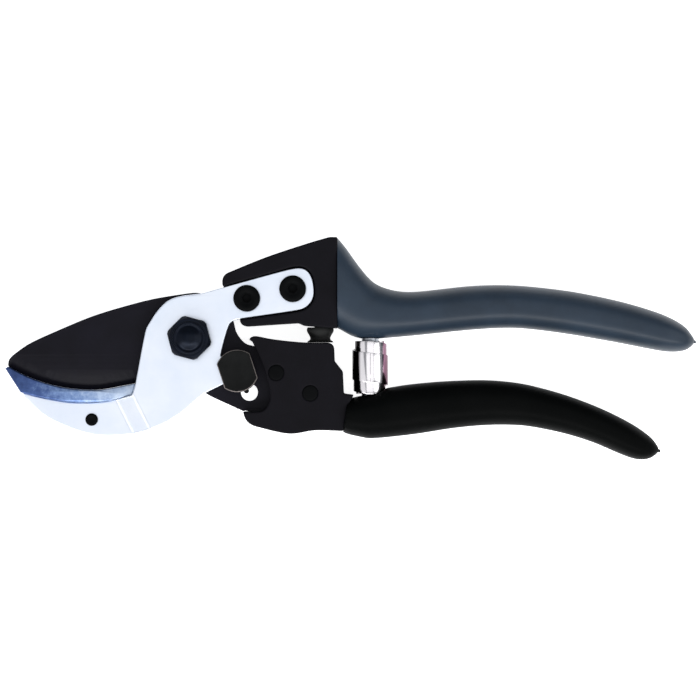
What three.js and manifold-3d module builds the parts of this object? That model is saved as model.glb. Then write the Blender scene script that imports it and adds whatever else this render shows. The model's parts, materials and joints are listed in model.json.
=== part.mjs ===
// Anvil pruning shears: a curved blade that closes onto a soft anvil carried by a cranked steel jaw plate.
// They lie on their back, closed. The origin is on the pivot axis, level with the surface they lie on,
// +X runs along the handles, +Y runs from the lower handle to the upper one and +Z is the pivot axis.
// Lengths are in millimetres.
import * as THREE from "three";
import { mergeVertices } from "three/addons/utils/BufferGeometryUtils.js";
import Module from "manifold-3d";

const wasm = await Module();
wasm.setup();

// ---- driving dimensions: how the layers are stacked through the thickness ----
const GRIP_THICK = 16; // the grips rest on the surface, so this sets the height of the blade
const MID = GRIP_THICK / 2; // middle plane of the blade
const BLADE_THICK = 3.2;
const PLATE_THICK = 3.5;
const RUNNING_GAP = 0.2; // blade against jaw plate
const SEAT = 0.3; // between parts that lie against each other
const FIT = 0.15; // all round a pin in its hole
const UPPER_HEAD_THICK = 12.4;
const LOWER_HEAD_THICK = 11.6;

const BLADE_LOW = MID - BLADE_THICK / 2;
const BLADE_HIGH = MID + BLADE_THICK / 2;
const PLATE_LOW = BLADE_HIGH + RUNNING_GAP;
const PLATE_HIGH = PLATE_LOW + PLATE_THICK;
const JAW_LOW = MID - PLATE_THICK / 2; // the jaw end of the plate lies in line with the blade
const JAW_HIGH = MID + PLATE_THICK / 2;

// ---- pivot ----
const BOLT_R = 4;
const BOLT_HEX = 12.2; // across flats
const BOLT_HEAD = 4.4;
const BOLT_CHAMFER = 1; // on the corners of the hexagon
const BOLT_RING_R = 4.7; // round land on the head
const BOLT_DOME_R = 3.4;
const BOLT_DOME_HIGH = 1.4;
const HEX_TURN = 45; // degrees to one corner of the tightened head
const BUSH_WALL = 1;
const WASHER_R = 8.5;
const WASHER_THICK = 1;
const NUT_HEX = 13;

// ---- screws that hold the jaw plate on the upper handle ----
const PLATE_SCREWS = { front: [17.3, 12], rear: [31.2, 14.9] };
const SCREW_R = 2;
const SCREW_HEAD_R = 4.05;
const SCREW_HEAD = 2;
const SOCKET_R = 1.5;
const SOCKET_DEEP = 1.2;
const SCREW_RIM = 0.5; // the rounded rim of the head
const SCREW_NUT_R = 4.2;
const SCREW_NUT = 1.4;

// ---- anvil ----
const ANVIL_WIDE = 6;
const ANVIL_CHAMFER = 0.9;
const ANVIL_SCREW = [-30, -24.8];
const ANVIL_SCREW_R = 1.5;
const ANVIL_SCREW_HEAD_R = 1.9;
const ANVIL_SCREW_HEAD = 0.5;
const RIVET_TAIL = 0.6; // the screw ends this far past the lug
const LUG_THICK = 2;
const LUG_R = 4.2;
const LUG_LONG = 7.4; // from the screw to the top of the lug

// ---- blade, and the two pins that hold it in the fork of the lower handle ----
const BEVEL_WIDE = 4; // ground bevel, measured in from the edge
const EDGE_LAND = 0.3; // thickness left at the edge
const TAIL_HOLE = [17.9, -16.5];
const TAIL_HOLE_R = 2.75;
const BLADE_PINS = { front: [26.2, -10.5], rear: [36.5, -16.7] };
const PIN_R = 2.2;
const PIN_PROUD = 0.3;

// ---- latch: a button on a shank through the blade's tail, with a finger that stops behind a tooth ----
const LATCH_PIVOT = [17.45, -11.3];
const LATCH_TURN = 70; // degrees from free to locked
const SHANK_R = 1.6;
const BUTTON_CENTRE = [14.5, -9.95];
const BUTTON_R = 6.5;
const BUTTON_FLATS = 10.5; // across the two flats of the button
const BUTTON_TURN = 18; // degrees to the right-hand flat
const BUTTON_THICK = 3;
const NIB_CENTRE = [17.2, -16];
const NIB_R = 0.8;
const NIB_BELOW = 0.6; // the nib is this much lower than the button's face
const FINGER_R = 0.8;
const FINGER_REACH = 2.4; // from the shank to the centre of the finger's round end
const PLATE_ARC_R = 17.3; // edge of the jaw plate under the button, measured from the pivot
const TOOTH_HIGH = 1.6;
const TOOTH = [-36.4, -43]; // degrees round the pivot
const WAVE_WASHER_R = 3.2;
const WAVE_WASHER_THICK = 0.5;
const RETAINER_R = 3.4;
const RETAINER_THICK = 1.2;

// ---- volute spring, its pegs and the rubber stop ----
const SPRING_X = 54.7;
const SPRING_R = 5.4; // middle of the strip, in the widest coil
const STRIP_THICK = 0.55;
const STRIP_WIDE = 9;
const COIL_STEP = 0.8; // from one coil to the next, measured along a radius
const SIDE_TURNS = 1.75; // coils from the middle of the strip to each end
const CLOSED_TURNS = 0.75; // of these, the last ones lie level, as the flat end of the spring
const SPRING_TOP = -0.9;
const SPRING_BOTTOM = -17;
const PEG_R = 2.6;
const PEG_IN_SPRING = 3;
const PEG_IN_HANDLE = 6;
const SPRING_SEAT_R = 5.2;
const SPRING_SEAT_DEEP = 4;
const BUFFER_X = 39.5;
const BUFFER_R = 4.1;
const BUFFER_WAIST_R = 2.9;
const BUFFER_STEM_R = 1.8;
const BUFFER_STEM = 5;
const BUFFER_SEAT = 3.3; // height of the upper head's edge over it
const BUFFER_LANDS = -1.4; // height of the lower head's edge under it

// ---- handles ----
const SLEEVE_WALL = 2; // of a grip, round the tang inside it
const UPPER_SEAM = 45; // where the upper grip starts
const UPPER_GRIP_LONG = 108.7;
const LOWER_GRIP_LONG = 97.8;
const LOWER_SEAM = 45; // the slanted front of the lower grip starts just behind this
const UPPER_TIP = UPPER_SEAM + UPPER_GRIP_LONG;
const LOWER_TIP = LOWER_SEAM + LOWER_GRIP_LONG;
const TIP_ROUND = 11; // the last stretch of a grip, over which it gets thinner
const TIP_PAST = 0.2; // the rounding of the thickness runs this far past the tip
const TANG_IN_HEAD = 2; // the tang starts this far inside the head
const TANG_LEFT_OUT = 31; // the tang ends this far before the end of its grip
const PIVOT_RELIEF = 16; // the upper head keeps this far from the pivot
const SECTION_POWER = 2.4; // 2 is an ellipse, more is squarer
const CURVE_STEPS = 6; // straight steps from one point of a curved outline to the next

const black = { color: 0x1c1a20, roughness: 0.55, metalness: 0.2 };
const nickel = { color: 0xe4ebf6, roughness: 0.25, metalness: 0.9 };
const blackened = { color: 0x0d1017, roughness: 0.4, metalness: 0.6 };
const steel = { color: 0xb9bcc0, roughness: 0.35, metalness: 0.9 };

// ---- small tools ----
const at = ([x, y]) => new THREE.Vector2(x, y);
const radians = THREE.MathUtils.degToRad;
const polar = (r, degrees) => [r * Math.cos(radians(degrees)), r * Math.sin(radians(degrees))];

function toSolid(geometry) {
  const bare = new THREE.BufferGeometry().setAttribute("position", geometry.getAttribute("position"));
  if (geometry.index) bare.setIndex(geometry.index);
  const merged = mergeVertices(bare, 1e-4);
  const mesh = new wasm.Mesh({
    numProp: 3,
    vertProperties: merged.attributes.position.array,
    triVerts: new Uint32Array(merged.index.array),
  });
  return new wasm.Manifold(mesh);
}

function toGeometry(solid) {
  const mesh = solid.getMesh();
  return new THREE.BufferGeometry()
    .setAttribute("position", new THREE.BufferAttribute(new Float32Array(mesh.vertProperties), 3))
    .setIndex(new THREE.BufferAttribute(new Uint32Array(mesh.triVerts), 1));
}

// A flat outline raised from one height to another.
function slab(shape, low, high, steps = CURVE_STEPS) {
  const options = { depth: high - low, bevelEnabled: false, curveSegments: steps };
  return toSolid(new THREE.ExtrudeGeometry(shape, options).translate(0, 0, low));
}

const polygon = (points) => new THREE.Shape(points.map(at));

// A solid turned about a line along Z through centre, from pairs of radius and height.
function turned(profile, centre = [0, 0], sides = 24) {
  const lathe = new THREE.LatheGeometry(profile.map(at), sides).rotateX(Math.PI / 2);
  return toSolid(lathe.translate(centre[0], centre[1], 0));
}

function rod(r, low, high, centre, sides) {
  return turned([[0, low], [r, low], [r, high], [0, high]], centre, sides);
}

// The same about a line along Y in the middle plane, where the heights are y.
function turnedUpright(profile, x, sides = 20) {
  return toSolid(new THREE.LatheGeometry(profile.map(at), sides).translate(x, 0, MID));
}

// A hexagonal prism with one corner at the angle turn.
function hexagon(acrossFlats, low, high, turn) {
  const corner = acrossFlats / Math.sqrt(3);
  const prism = new THREE.CylinderGeometry(corner, corner, high - low, 6).rotateX(Math.PI / 2);
  return toSolid(prism.rotateZ(radians(turn - 30)).translate(0, 0, (low + high) / 2));
}

// An outline moved outwards all round.
function grown(shape, distance) {
  const points = shape.getPoints(CURVE_STEPS);
  if (points[0].distanceTo(points[points.length - 1]) < 1e-6) points.pop();
  const turn = THREE.ShapeUtils.isClockWise(points) ? -1 : 1;
  const moved = points.map((p, i) => {
    const before = points[(i + points.length - 1) % points.length];
    const after = points[(i + 1) % points.length];
    const along = after.clone().sub(before).normalize();
    return new THREE.Vector2(p.x + turn * along.y * distance, p.y - turn * along.x * distance);
  });
  return new THREE.Shape(moved);
}

// A closed mesh from rings of points, each with the same number, its ends closed by fans.
function skinned(rings) {
  const count = rings[0].length;
  const points = rings.flat();
  const faces = [];
  for (let k = 0; k + 1 < rings.length; k += 1) {
    for (let i = 0; i < count; i += 1) {
      const a = k * count + i;
      const b = k * count + ((i + 1) % count);
      faces.push([a, b, a + count], [b, b + count, a + count]);
    }
  }
  const middle = (ring) => ring.reduce((sum, p) => sum.add(p), new THREE.Vector3()).divideScalar(count);
  const first = points.push(middle(rings[0])) - 1;
  const last = points.push(middle(rings[rings.length - 1])) - 1;
  const top = (rings.length - 1) * count;
  for (let i = 0; i < count; i += 1) {
    const next = (i + 1) % count;
    faces.push([first, next, i], [last, top + i, top + next]);
  }
  const make = (list) => toSolid(new THREE.BufferGeometry().setFromPoints(points).setIndex(list.flat()));
  const solid = make(faces);
  return solid.volume() > 0 ? solid : make(faces.map(([a, b, c]) => [a, c, b]));
}

// The height of a smooth edge as a function of x. Its points run from a seam to the end of a grip,
// and are drawn for a grip 100 long.
function edgeThrough(seam, long, points) {
  const drawn = points.map(([x, y]) => new THREE.Vector2(seam + (x * long) / 100, y));
  const samples = new THREE.SplineCurve(drawn).getPoints(points.length * 12);
  return (x) => {
    const k = Math.max(1, samples.findIndex((p) => p.x >= x));
    const a = samples[k - 1];
    const b = samples[k];
    return a.y + ((b.y - a.y) * (x - a.x)) / (b.x - a.x);
  };
}

const down = (points, distance) => points.map(([x, y]) => [x, y - distance]);
const fitted = (r) => r + FIT;

// ---- outlines that two or more parts share ----
const cuttingEdge = [
  [-55.4, -8.7], [-51.1, -11], [-46.2, -13], [-41.2, -14.5],
  [-36.3, -15.4], [-29.7, -15.8], [-24.8, -15.3], [-17, -13.8],
];
const anvilSeat = [
  [-51, -16.6], [-46.2, -17.9], [-41.2, -18.9], [-36.3, -19.6],
  [-29.7, -19.7], [-24.8, -19.2], [-17.9, -17.4],
];

// ---- blade ----
// The part of the tail that goes into the fork, grown all round by a clearance.
function tangOutline(clear) {
  const shape = new THREE.Shape();
  shape.moveTo(14, -21.4 - clear);
  shape.lineTo(30, -25.4 - clear);
  shape.lineTo(40.2 + clear, -21.4 - clear);
  shape.lineTo(40.2 + clear, -12.4 + clear);
  shape.lineTo(31, -4.4 + clear);
  shape.lineTo(18.2, -2.2 + clear);
  shape.lineTo(14, -4);
  return shape;
}

function blade() {
  const shape = new THREE.Shape();
  shape.moveTo(...cuttingEdge[0]);
  shape.quadraticCurveTo(-56.3, -7.6, -55, -6);
  const spine = [[-49.2, -1.8], [-39.5, 2.7], [-29.7, 6.7], [-20, 9.7], [-10.3, 12.1], [1.8, 14]];
  shape.splineThru(spine.map(at));
  shape.absarc(0, 0, 14.1, Math.atan2(14, 1.8), Math.atan2(4.9, 12.4), true);
  shape.lineTo(13.7, 2);
  shape.quadraticCurveTo(16.4, -2.6, 18.2, -2.2);
  shape.lineTo(19, -21);
  shape.lineTo(16.2, -22.3);
  shape.lineTo(4.9, -17.2);
  shape.splineThru([[0, -13.4], [-9, -12.6], [-16.4, -14]].map(at));
  shape.lineTo(...cuttingEdge[cuttingEdge.length - 1]);
  shape.splineThru(cuttingEdge.slice(0, -1).reverse().map(at));
  let solid = slab(shape, BLADE_LOW, BLADE_HIGH).add(slab(tangOutline(0), BLADE_LOW, BLADE_HIGH));
  const slope = (BLADE_THICK / 2 - EDGE_LAND / 2) / BEVEL_WIDE;
  const over = 1; // the grinding cut runs this far past the edge and past the face
  const edge = new THREE.SplineCurve(cuttingEdge.map(at));
  for (const side of [1, -1]) {
    const rings = Array.from({ length: 17 }, (_, i) => {
      const p = edge.getPoint(i / 16);
      const along = edge.getTangent(i / 16);
      const corner = (out, high) =>
        new THREE.Vector3(p.x + along.y * out, p.y - along.x * out, MID + side * high);
      const lift = EDGE_LAND / 2;
      return [
        corner(over, lift - slope * over),
        corner(over, BLADE_THICK / 2 + over),
        corner(-BEVEL_WIDE - over, BLADE_THICK / 2 + slope * over),
      ];
    });
    solid = solid.subtract(skinned(rings));
  }
  const holes = [
    [[0, 0], fitted(BOLT_R + BUSH_WALL)], [LATCH_PIVOT, fitted(SHANK_R)], [TAIL_HOLE, TAIL_HOLE_R],
    [BLADE_PINS.front, fitted(PIN_R)], [BLADE_PINS.rear, fitted(PIN_R)],
  ];
  for (const [centre, r] of holes) solid = solid.subtract(rod(r, BLADE_LOW - 1, BLADE_HIGH + 1, centre));
  return solid;
}

// ---- jaw plate ----
function jawPlateOutline() {
  const shape = new THREE.Shape();
  shape.moveTo(14.1, 5.6);
  shape.lineTo(33, 8.3);
  shape.quadraticCurveTo(37.6, 9.4, 37.7, 13.9);
  shape.bezierCurveTo(37.6, 20, 35.4, 22.2, 31, 21.2);
  shape.lineTo(10.1, 15.4);
  const shoulder = [[3.3, 13.5], [-2.1, 12.8], [-6.4, 11.4], [-9.8, 8.2], [-12.2, 4.6], [-13.4, 2.8]];
  shape.splineThru(shoulder.map(at));
  shape.lineTo(-16.4, -13.4);
  shape.quadraticCurveTo(-16.8, -16.6, ...anvilSeat[anvilSeat.length - 1]);
  shape.splineThru(anvilSeat.slice(0, -1).reverse().map(at));
  shape.lineTo(-50.4, -18.1);
  const belly = [[-44.3, -23.7], [-37.9, -26.9], [-31.3, -29.1], [-24.8, -29.9], [-18.2, -29.4]];
  shape.splineThru(belly.map(at));
  shape.splineThru([[-9.8, -26.9], [-3, -23], [1.8, -18.9], [4.4, -16.7]].map(at));
  shape.lineTo(...polar(PLATE_ARC_R, -54));
  shape.absarc(0, 0, PLATE_ARC_R, radians(-54), radians(TOOTH[1]), false);
  shape.lineTo(...polar(PLATE_ARC_R + TOOTH_HIGH, TOOTH[1] + 1));
  shape.lineTo(...polar(PLATE_ARC_R + TOOTH_HIGH, TOOTH[0]));
  shape.lineTo(...polar(PLATE_ARC_R, TOOTH[0]));
  shape.absarc(0, 0, PLATE_ARC_R, radians(TOOTH[0]), radians(-23), false);
  shape.lineTo(9.4, -5.5);
  shape.splineThru([[10, -2.1], [11.4, 2.8], [12.2, 4.6]].map(at));
  shape.quadraticCurveTo(12.8, 5.5, 14.1, 5.6);
  return shape;
}

const CRANK_LINE = [[-16.7, -17.6], [-11.8, -27.5]]; // the plate is bent here, and steps back towards its tip
const CRANK_RUN = 6; // length of the slope

function jawPlate() {
  const outline = jawPlateOutline();
  const [top, bottom] = CRANK_LINE.map(at);
  const along = bottom.clone().sub(top).normalize();
  const away = new THREE.Vector2(along.y, -along.x); // towards the tip of the jaw
  const start = away.dot(top);
  const step = PLATE_LOW - JAW_LOW;
  const far = 200;
  const lap = 0.02;
  const band = (from, to) => {
    const box = new THREE.BoxGeometry(to - from, far, far).translate(start + (from + to) / 2, 0, 0);
    return toSolid(box.rotateZ(Math.atan2(away.y, away.x)));
  };
  const flat = slab(outline, PLATE_LOW, PLATE_HIGH);
  const slope = step / CRANK_RUN;
  const shear = new THREE.Matrix4();
  shear.set(1, 0, 0, 0, 0, 1, 0, 0, -slope * away.x, -slope * away.y, 1, slope * start, 0, 0, 0, 1);
  const ramp = toSolid(toGeometry(flat.intersect(band(-lap, CRANK_RUN + lap))).applyMatrix4(shear));
  const jaw = slab(outline, JAW_LOW, JAW_HIGH).intersect(band(CRANK_RUN, far));
  let solid = flat.intersect(band(-far, 0)).add(ramp).add(jaw);
  solid = solid.subtract(rod(fitted(BOLT_R), PLATE_LOW - 1, PLATE_HIGH + 1));
  for (const centre of Object.values(PLATE_SCREWS)) {
    solid = solid.subtract(rod(fitted(SCREW_R), PLATE_LOW - 1, PLATE_HIGH + 1, centre));
  }
  return solid.subtract(rod(fitted(ANVIL_SCREW_R), JAW_LOW - 1, JAW_HIGH + 1, ANVIL_SCREW));
}

// ---- anvil: a bar along the top of the jaw, with a lug down its back for the screw ----
function anvil() {
  const upper = down(cuttingEdge, SEAT);
  const lower = down(anvilSeat, -SEAT);
  const outline = (drop) => {
    const shape = new THREE.Shape();
    shape.moveTo(-55.9, -9.3);
    shape.lineTo(lower[0][0] - 0.4, lower[0][1] + drop);
    shape.splineThru(down(lower.slice(1), -drop).map(at));
    shape.lineTo(...upper[upper.length - 1]);
    shape.splineThru(upper.slice(0, -1).reverse().map(at));
    return shape;
  };
  const low = MID - ANVIL_WIDE / 2;
  const high = MID + ANVIL_WIDE / 2;
  const face = slab(outline(ANVIL_CHAMFER), low, high, 3);
  const foot = slab(outline(0), low + ANVIL_CHAMFER, high - ANVIL_CHAMFER, 3);
  const lug = new THREE.Shape();
  const [x, y] = ANVIL_SCREW;
  lug.absarc(x, y, LUG_R, Math.PI, 0, false);
  lug.lineTo(x + LUG_R + 1, y + LUG_LONG);
  lug.lineTo(x - LUG_R - 1, y + LUG_LONG);
  const back = JAW_LOW - SEAT;
  const lugPlate = slab(lug, back - LUG_THICK, back, 10);
  return face.add(foot).add(lugPlate).subtract(rod(fitted(ANVIL_SCREW_R), 0, back + 1, ANVIL_SCREW));
}

function anvilScrew() {
  const head = JAW_HIGH + SEAT;
  const end = JAW_LOW - SEAT - LUG_THICK - RIVET_TAIL;
  const profile = [
    [0, end], [ANVIL_SCREW_R, end], [ANVIL_SCREW_R, head], [ANVIL_SCREW_HEAD_R, head],
    [ANVIL_SCREW_HEAD_R, head + ANVIL_SCREW_HEAD], [0, head + ANVIL_SCREW_HEAD],
  ];
  return turned(profile, ANVIL_SCREW, 24);
}

// ---- pivot ----
function pivotBolt() {
  const seat = PLATE_HIGH + SEAT;
  const head = hexagon(BOLT_HEX, seat, seat + BOLT_HEAD, HEX_TURN);
  const top = seat + BOLT_HEAD;
  const flat = BOLT_HEX / 2;
  const outside = flat + 2 * BOLT_CHAMFER;
  const chamfer = turned([
    [0, seat - 1], [outside, seat - 1], [outside, top - BOLT_CHAMFER], [flat, top], [0, top],
  ]);
  const crown = turned([
    [0, top - 1], [BOLT_RING_R, top - 1], [BOLT_RING_R, top + 0.3], [BOLT_DOME_R, top + 0.5],
    [BOLT_DOME_R / 2, top + BOLT_DOME_HIGH - 0.2], [0, top + BOLT_DOME_HIGH],
  ]);
  return head.intersect(chamfer).add(crown).add(rod(BOLT_R, 0, seat + 0.5));
}

const washerLow = BLADE_LOW - SEAT - WASHER_THICK;

function ringSolid(inner, outer, low, high, centre, sides) {
  return turned([[inner, low], [outer, low], [outer, high], [inner, high], [inner, low]], centre, sides);
}

function pivotNut() {
  return hexagon(NUT_HEX, 0, washerLow - SEAT, HEX_TURN).subtract(rod(fitted(BOLT_R), -1, MID));
}

function jawScrew(centre) {
  const seat = PLATE_HIGH + SEAT;
  const top = seat + SCREW_HEAD;
  const end = MID - UPPER_HEAD_THICK / 2 - SCREW_NUT;
  const profile = [
    [0, end], [SCREW_R, end], [SCREW_R, seat], [SCREW_HEAD_R, seat], [SCREW_HEAD_R, top - SCREW_RIM],
    [SCREW_HEAD_R - SCREW_RIM, top], [0, top],
  ];
  return turned(profile, centre).subtract(rod(SOCKET_R, top - SOCKET_DEEP, top + 1, centre, 6));
}

function jawNut(centre) {
  const high = MID - UPPER_HEAD_THICK / 2 - SEAT;
  return ringSolid(fitted(SCREW_R), SCREW_NUT_R, high - SCREW_NUT + SEAT, high, centre);
}

// ---- latch ----
function latchButton() {
  const seat = PLATE_HIGH + SEAT;
  const button = new THREE.Shape();
  const turn = radians(BUTTON_TURN);
  const flat = Math.acos(BUTTON_FLATS / 2 / BUTTON_R); // half the angle that a flat takes up
  button.absarc(...BUTTON_CENTRE, BUTTON_R, turn + flat, turn + Math.PI - flat, false);
  button.absarc(...BUTTON_CENTRE, BUTTON_R, turn + Math.PI + flat, turn + 2 * Math.PI - flat, false);
  const [x, y] = LATCH_PIVOT;
  const free = Math.atan2(-y, -x) - radians(LATCH_TURN); // the finger points at the pivot when it is locked
  const tip = [x + FINGER_REACH * Math.cos(free), y + FINGER_REACH * Math.sin(free)];
  const finger = new THREE.Shape();
  finger.absarc(...tip, FINGER_R, free - Math.PI / 2, free + Math.PI / 2, false);
  finger.absarc(x, y, SHANK_R, free + Math.PI / 2, free - Math.PI / 2, false);
  const nib = rod(NIB_R, seat, seat + BUTTON_THICK - NIB_BELOW, NIB_CENTRE, 12);
  return slab(button, seat, seat + BUTTON_THICK, 14)
    .add(nib)
    .add(slab(finger, BLADE_HIGH + SEAT, seat + 0.5, 8))
    .add(rod(SHANK_R, retainerLow - 0.5, seat + 0.5, LATCH_PIVOT, 20));
}

const waveHigh = BLADE_LOW - SEAT;
const retainerHigh = waveHigh - WAVE_WASHER_THICK - SEAT;
const retainerLow = retainerHigh - RETAINER_THICK;

// ---- handles ----
const upperGripTop = edgeThrough(UPPER_SEAM, UPPER_GRIP_LONG, [
  [-2.8, 31.6], [-0.2, 30.4], [2.7, 26.7], [6.1, 21.2], [9.4, 17], [12.8, 14.9], [16.6, 14.1],
  [22.8, 14.1], [32.8, 15.5], [43.2, 16.3], [56.3, 15.5], [69.7, 13.4], [83.1, 10], [92, 6.7],
  [97.1, 3.6], [100, -0.7],
]);
const upperGripBottom = edgeThrough(UPPER_SEAM, UPPER_GRIP_LONG, [
  [-2.8, 3.4], [0.3, 2.7], [3.3, 0.8], [6, -0.4], [10.1, -0.3], [22.8, 0.9], [36.2, 2.4], [47.8, 3.2],
  [59.7, 2], [76.4, -1], [91.1, -4.1], [96.1, -4.2], [99, -2.7], [100, -0.9],
]);
const lowerGripTop = edgeThrough(LOWER_SEAM, LOWER_GRIP_LONG, [
  [-3.1, -19.5], [3.4, -18.3], [10.4, -16.8], [14.8, -15.2], [25.4, -13.7], [37.8, -12.9], [49.1, -12.8],
  [60.3, -14.4], [73.6, -18.2], [85, -22.8], [93.6, -27.4], [98.4, -31.2], [100, -34.1],
]);
const lowerGripBottom = edgeThrough(LOWER_SEAM, LOWER_GRIP_LONG, [
  [-3.1, -27.4], [2, -28.6], [6.7, -30.2], [11.2, -30.6], [25.4, -29.1], [36.5, -27.3], [51.1, -26.3],
  [62.6, -27.3], [77.5, -31], [87.9, -35.4], [93.7, -37.3], [97.8, -36.4], [100, -34.3],
]);

// Places along a handle, closer together towards both ends.
function stations(from, to, count) {
  const share = (k) => (1 - Math.cos((k / count) * Math.PI)) / 2;
  return Array.from({ length: count + 1 }, (_, k) => from + (to - from) * share(k));
}

// Cross-sections between a lower and an upper edge, a wall inside them, at each x.
function handleSolid(topEdge, bottomEdge, tip, places, wall) {
  const sides = 16;
  const rings = places.map((x) => {
    const high = topEdge(x) - wall;
    const low = bottomEdge(x) + wall;
    const share = Math.max(0, (x - tip + TIP_ROUND) / (TIP_ROUND + TIP_PAST));
    const round = Math.sqrt(Math.max(0, 1 - share ** 2));
    const deep = (GRIP_THICK / 2) * round - wall;
    return Array.from({ length: sides }, (__, i) => {
      const angle = (2 * Math.PI * i) / sides;
      const squared = (v) => Math.sign(v) * Math.abs(v) ** (2 / SECTION_POWER);
      const y = (high + low) / 2 + ((high - low) / 2) * squared(Math.cos(angle));
      return new THREE.Vector3(x, y, MID + deep * squared(Math.sin(angle)));
    });
  });
  return skinned(rings);
}

const upperRings = (places, wall) => handleSolid(upperGripTop, upperGripBottom, UPPER_TIP, places, wall);
const lowerRings = (places, wall) => handleSolid(lowerGripTop, lowerGripBottom, LOWER_TIP, places, wall);
const tangWall = SLEEVE_WALL + SEAT;
const upperTangPlaces = stations(UPPER_SEAM - TANG_IN_HEAD, UPPER_TIP - TANG_LEFT_OUT, 9);
const lowerTangPlaces = stations(LOWER_SEAM - TANG_IN_HEAD, LOWER_TIP - TANG_LEFT_OUT, 9);
// The hollow of a grip follows the tang inside it, and is longer by the seat.
const hollow = (places) => [...places.slice(0, -1), places[places.length - 1] + SEAT];

// A straight bore along Y in the middle plane.
const upright = (r, low, high, x) => turnedUpright([[0, low], [r, low], [r, high], [0, high]], x);
const pegHole = (low, high) => upright(fitted(PEG_R), low, high, SPRING_X);
const upperPegHole = pegHole(SPRING_TOP - SPRING_SEAT_DEEP, SPRING_TOP + PEG_IN_HANDLE + SEAT);
const lowerPegHole = pegHole(SPRING_BOTTOM - PEG_IN_HANDLE - SEAT, SPRING_BOTTOM + SPRING_SEAT_DEEP);
// The seats for the ends of the spring, sunk in the grips.
const springSeat = (low, high) => upright(SPRING_SEAT_R, low, high, SPRING_X);

function upperHandle() {
  const head = new THREE.Shape();
  head.moveTo(15.1, 5.5);
  head.quadraticCurveTo(15.6, 3.5, 17.4, 3.5);
  head.lineTo(32.8, 4.5);
  head.lineTo(34.6, 3.7);
  head.lineTo(UPPER_SEAM - SEAT, 2.9);
  head.lineTo(UPPER_SEAM - SEAT, 30.6);
  head.lineTo(42.3, 30.6);
  head.splineThru([[35.5, 28.6], [23.2, 24.5], [11.6, 19.8]].map(at));
  head.quadraticCurveTo(9.2, 18.7, 10.1, 15.4);
  const low = MID - UPPER_HEAD_THICK / 2;
  const high = MID + UPPER_HEAD_THICK / 2;
  let solid = slab(head, low, high).add(upperRings(upperTangPlaces, tangWall));
  const pocket = slab(grown(jawPlateOutline(), SEAT), PLATE_LOW - SEAT, high + 1);
  solid = solid.subtract(pocket).subtract(rod(PIVOT_RELIEF, low - 1, PLATE_LOW - SEAT / 2, [0, 0], 48));
  for (const centre of Object.values(PLATE_SCREWS)) {
    solid = solid.subtract(rod(fitted(SCREW_R), low - 1, high + 1, centre));
  }
  const stemHole = upright(fitted(BUFFER_STEM_R), 0, BUFFER_SEAT + SEAT + BUFFER_STEM, BUFFER_X);
  return solid.subtract(stemHole).subtract(upperPegHole);
}

function upperGrip() {
  return upperRings(stations(UPPER_SEAM, UPPER_TIP, 20), 0)
    .subtract(upperRings(hollow(upperTangPlaces), SLEEVE_WALL))
    .subtract(springSeat(SPRING_TOP - SPRING_SEAT_DEEP, SPRING_TOP + SEAT))
    .subtract(upperPegHole);
}

// The grip's front end is slanted, to meet the forging.
const lowerSeam = [[50, -17], [48, -20.5], [47, -27], [46.6, -31]];

function lowerHandle() {
  const head = new THREE.Shape();
  head.moveTo(18, -0.5);
  head.quadraticCurveTo(18.6, 0.9, 20.7, 0.5);
  head.splineThru([[25.4, -0.4], [34.1, -1.3], [41.9, -1.4]].map(at));
  head.quadraticCurveTo(43.9, -1.6, 43.8, -4);
  head.lineTo(43.9, -7);
  head.lineTo(46.4, -10.2);
  head.lineTo(46.7, -16.9);
  lowerSeam.slice(0, 3).forEach(([x, y]) => head.lineTo(x - SEAT, y - SEAT));
  head.lineTo(46.4, -28.2);
  head.splineThru([[38, -28], [30, -29], [20.2, -26.9]].map(at));
  head.quadraticCurveTo(16.6, -26, 16.2, -22.4);
  head.lineTo(18.7, -22.5);
  head.splineThru([[22.6, -21.8], [24.5, -17.2], [22.2, -8.5], [19, -1.2]].map(at));
  const low = MID - LOWER_HEAD_THICK / 2;
  const high = MID + LOWER_HEAD_THICK / 2;
  let solid = slab(head, low, high).add(lowerRings(lowerTangPlaces, tangWall));
  solid = solid.subtract(slab(tangOutline(SEAT), BLADE_LOW - SEAT, BLADE_HIGH + SEAT));
  const tailRoom = polygon([[12, 4], [19.2, -1], [19.2, -22.4], [15.6, -22.9], [12, -22]]);
  solid = solid.subtract(slab(tailRoom, BLADE_LOW - SEAT, BLADE_HIGH + SEAT));
  for (const centre of Object.values(BLADE_PINS)) {
    solid = solid.subtract(rod(fitted(PIN_R), low - 1, high + 1, centre));
  }
  return solid.subtract(lowerPegHole);
}

function lowerGrip() {
  const front = polygon([[40, -10], [50, -10], ...lowerSeam, [40, -31]]);
  return lowerRings(stations(LOWER_SEAM, LOWER_TIP, 20), 0)
    .subtract(lowerRings(hollow(lowerTangPlaces), SLEEVE_WALL))
    .subtract(slab(front, -1, GRIP_THICK + 1))
    .subtract(springSeat(SPRING_BOTTOM - SEAT, SPRING_BOTTOM + SPRING_SEAT_DEEP))
    .subtract(lowerPegHole);
}

function buffer() {
  const seat = BUFFER_SEAT - SEAT;
  const foot = BUFFER_LANDS + SEAT;
  const profile = [
    [0, foot], [BUFFER_R, foot], [BUFFER_R, foot + 0.5],
    [BUFFER_WAIST_R, foot + 1], [BUFFER_WAIST_R, foot + 1.6],
    [BUFFER_R, foot + 2.2], [BUFFER_R, seat - 0.2], [BUFFER_STEM_R, seat - 0.2],
    [BUFFER_STEM_R, seat + BUFFER_STEM], [0, seat + BUFFER_STEM],
  ];
  return turnedUpright(profile, BUFFER_X);
}

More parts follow.
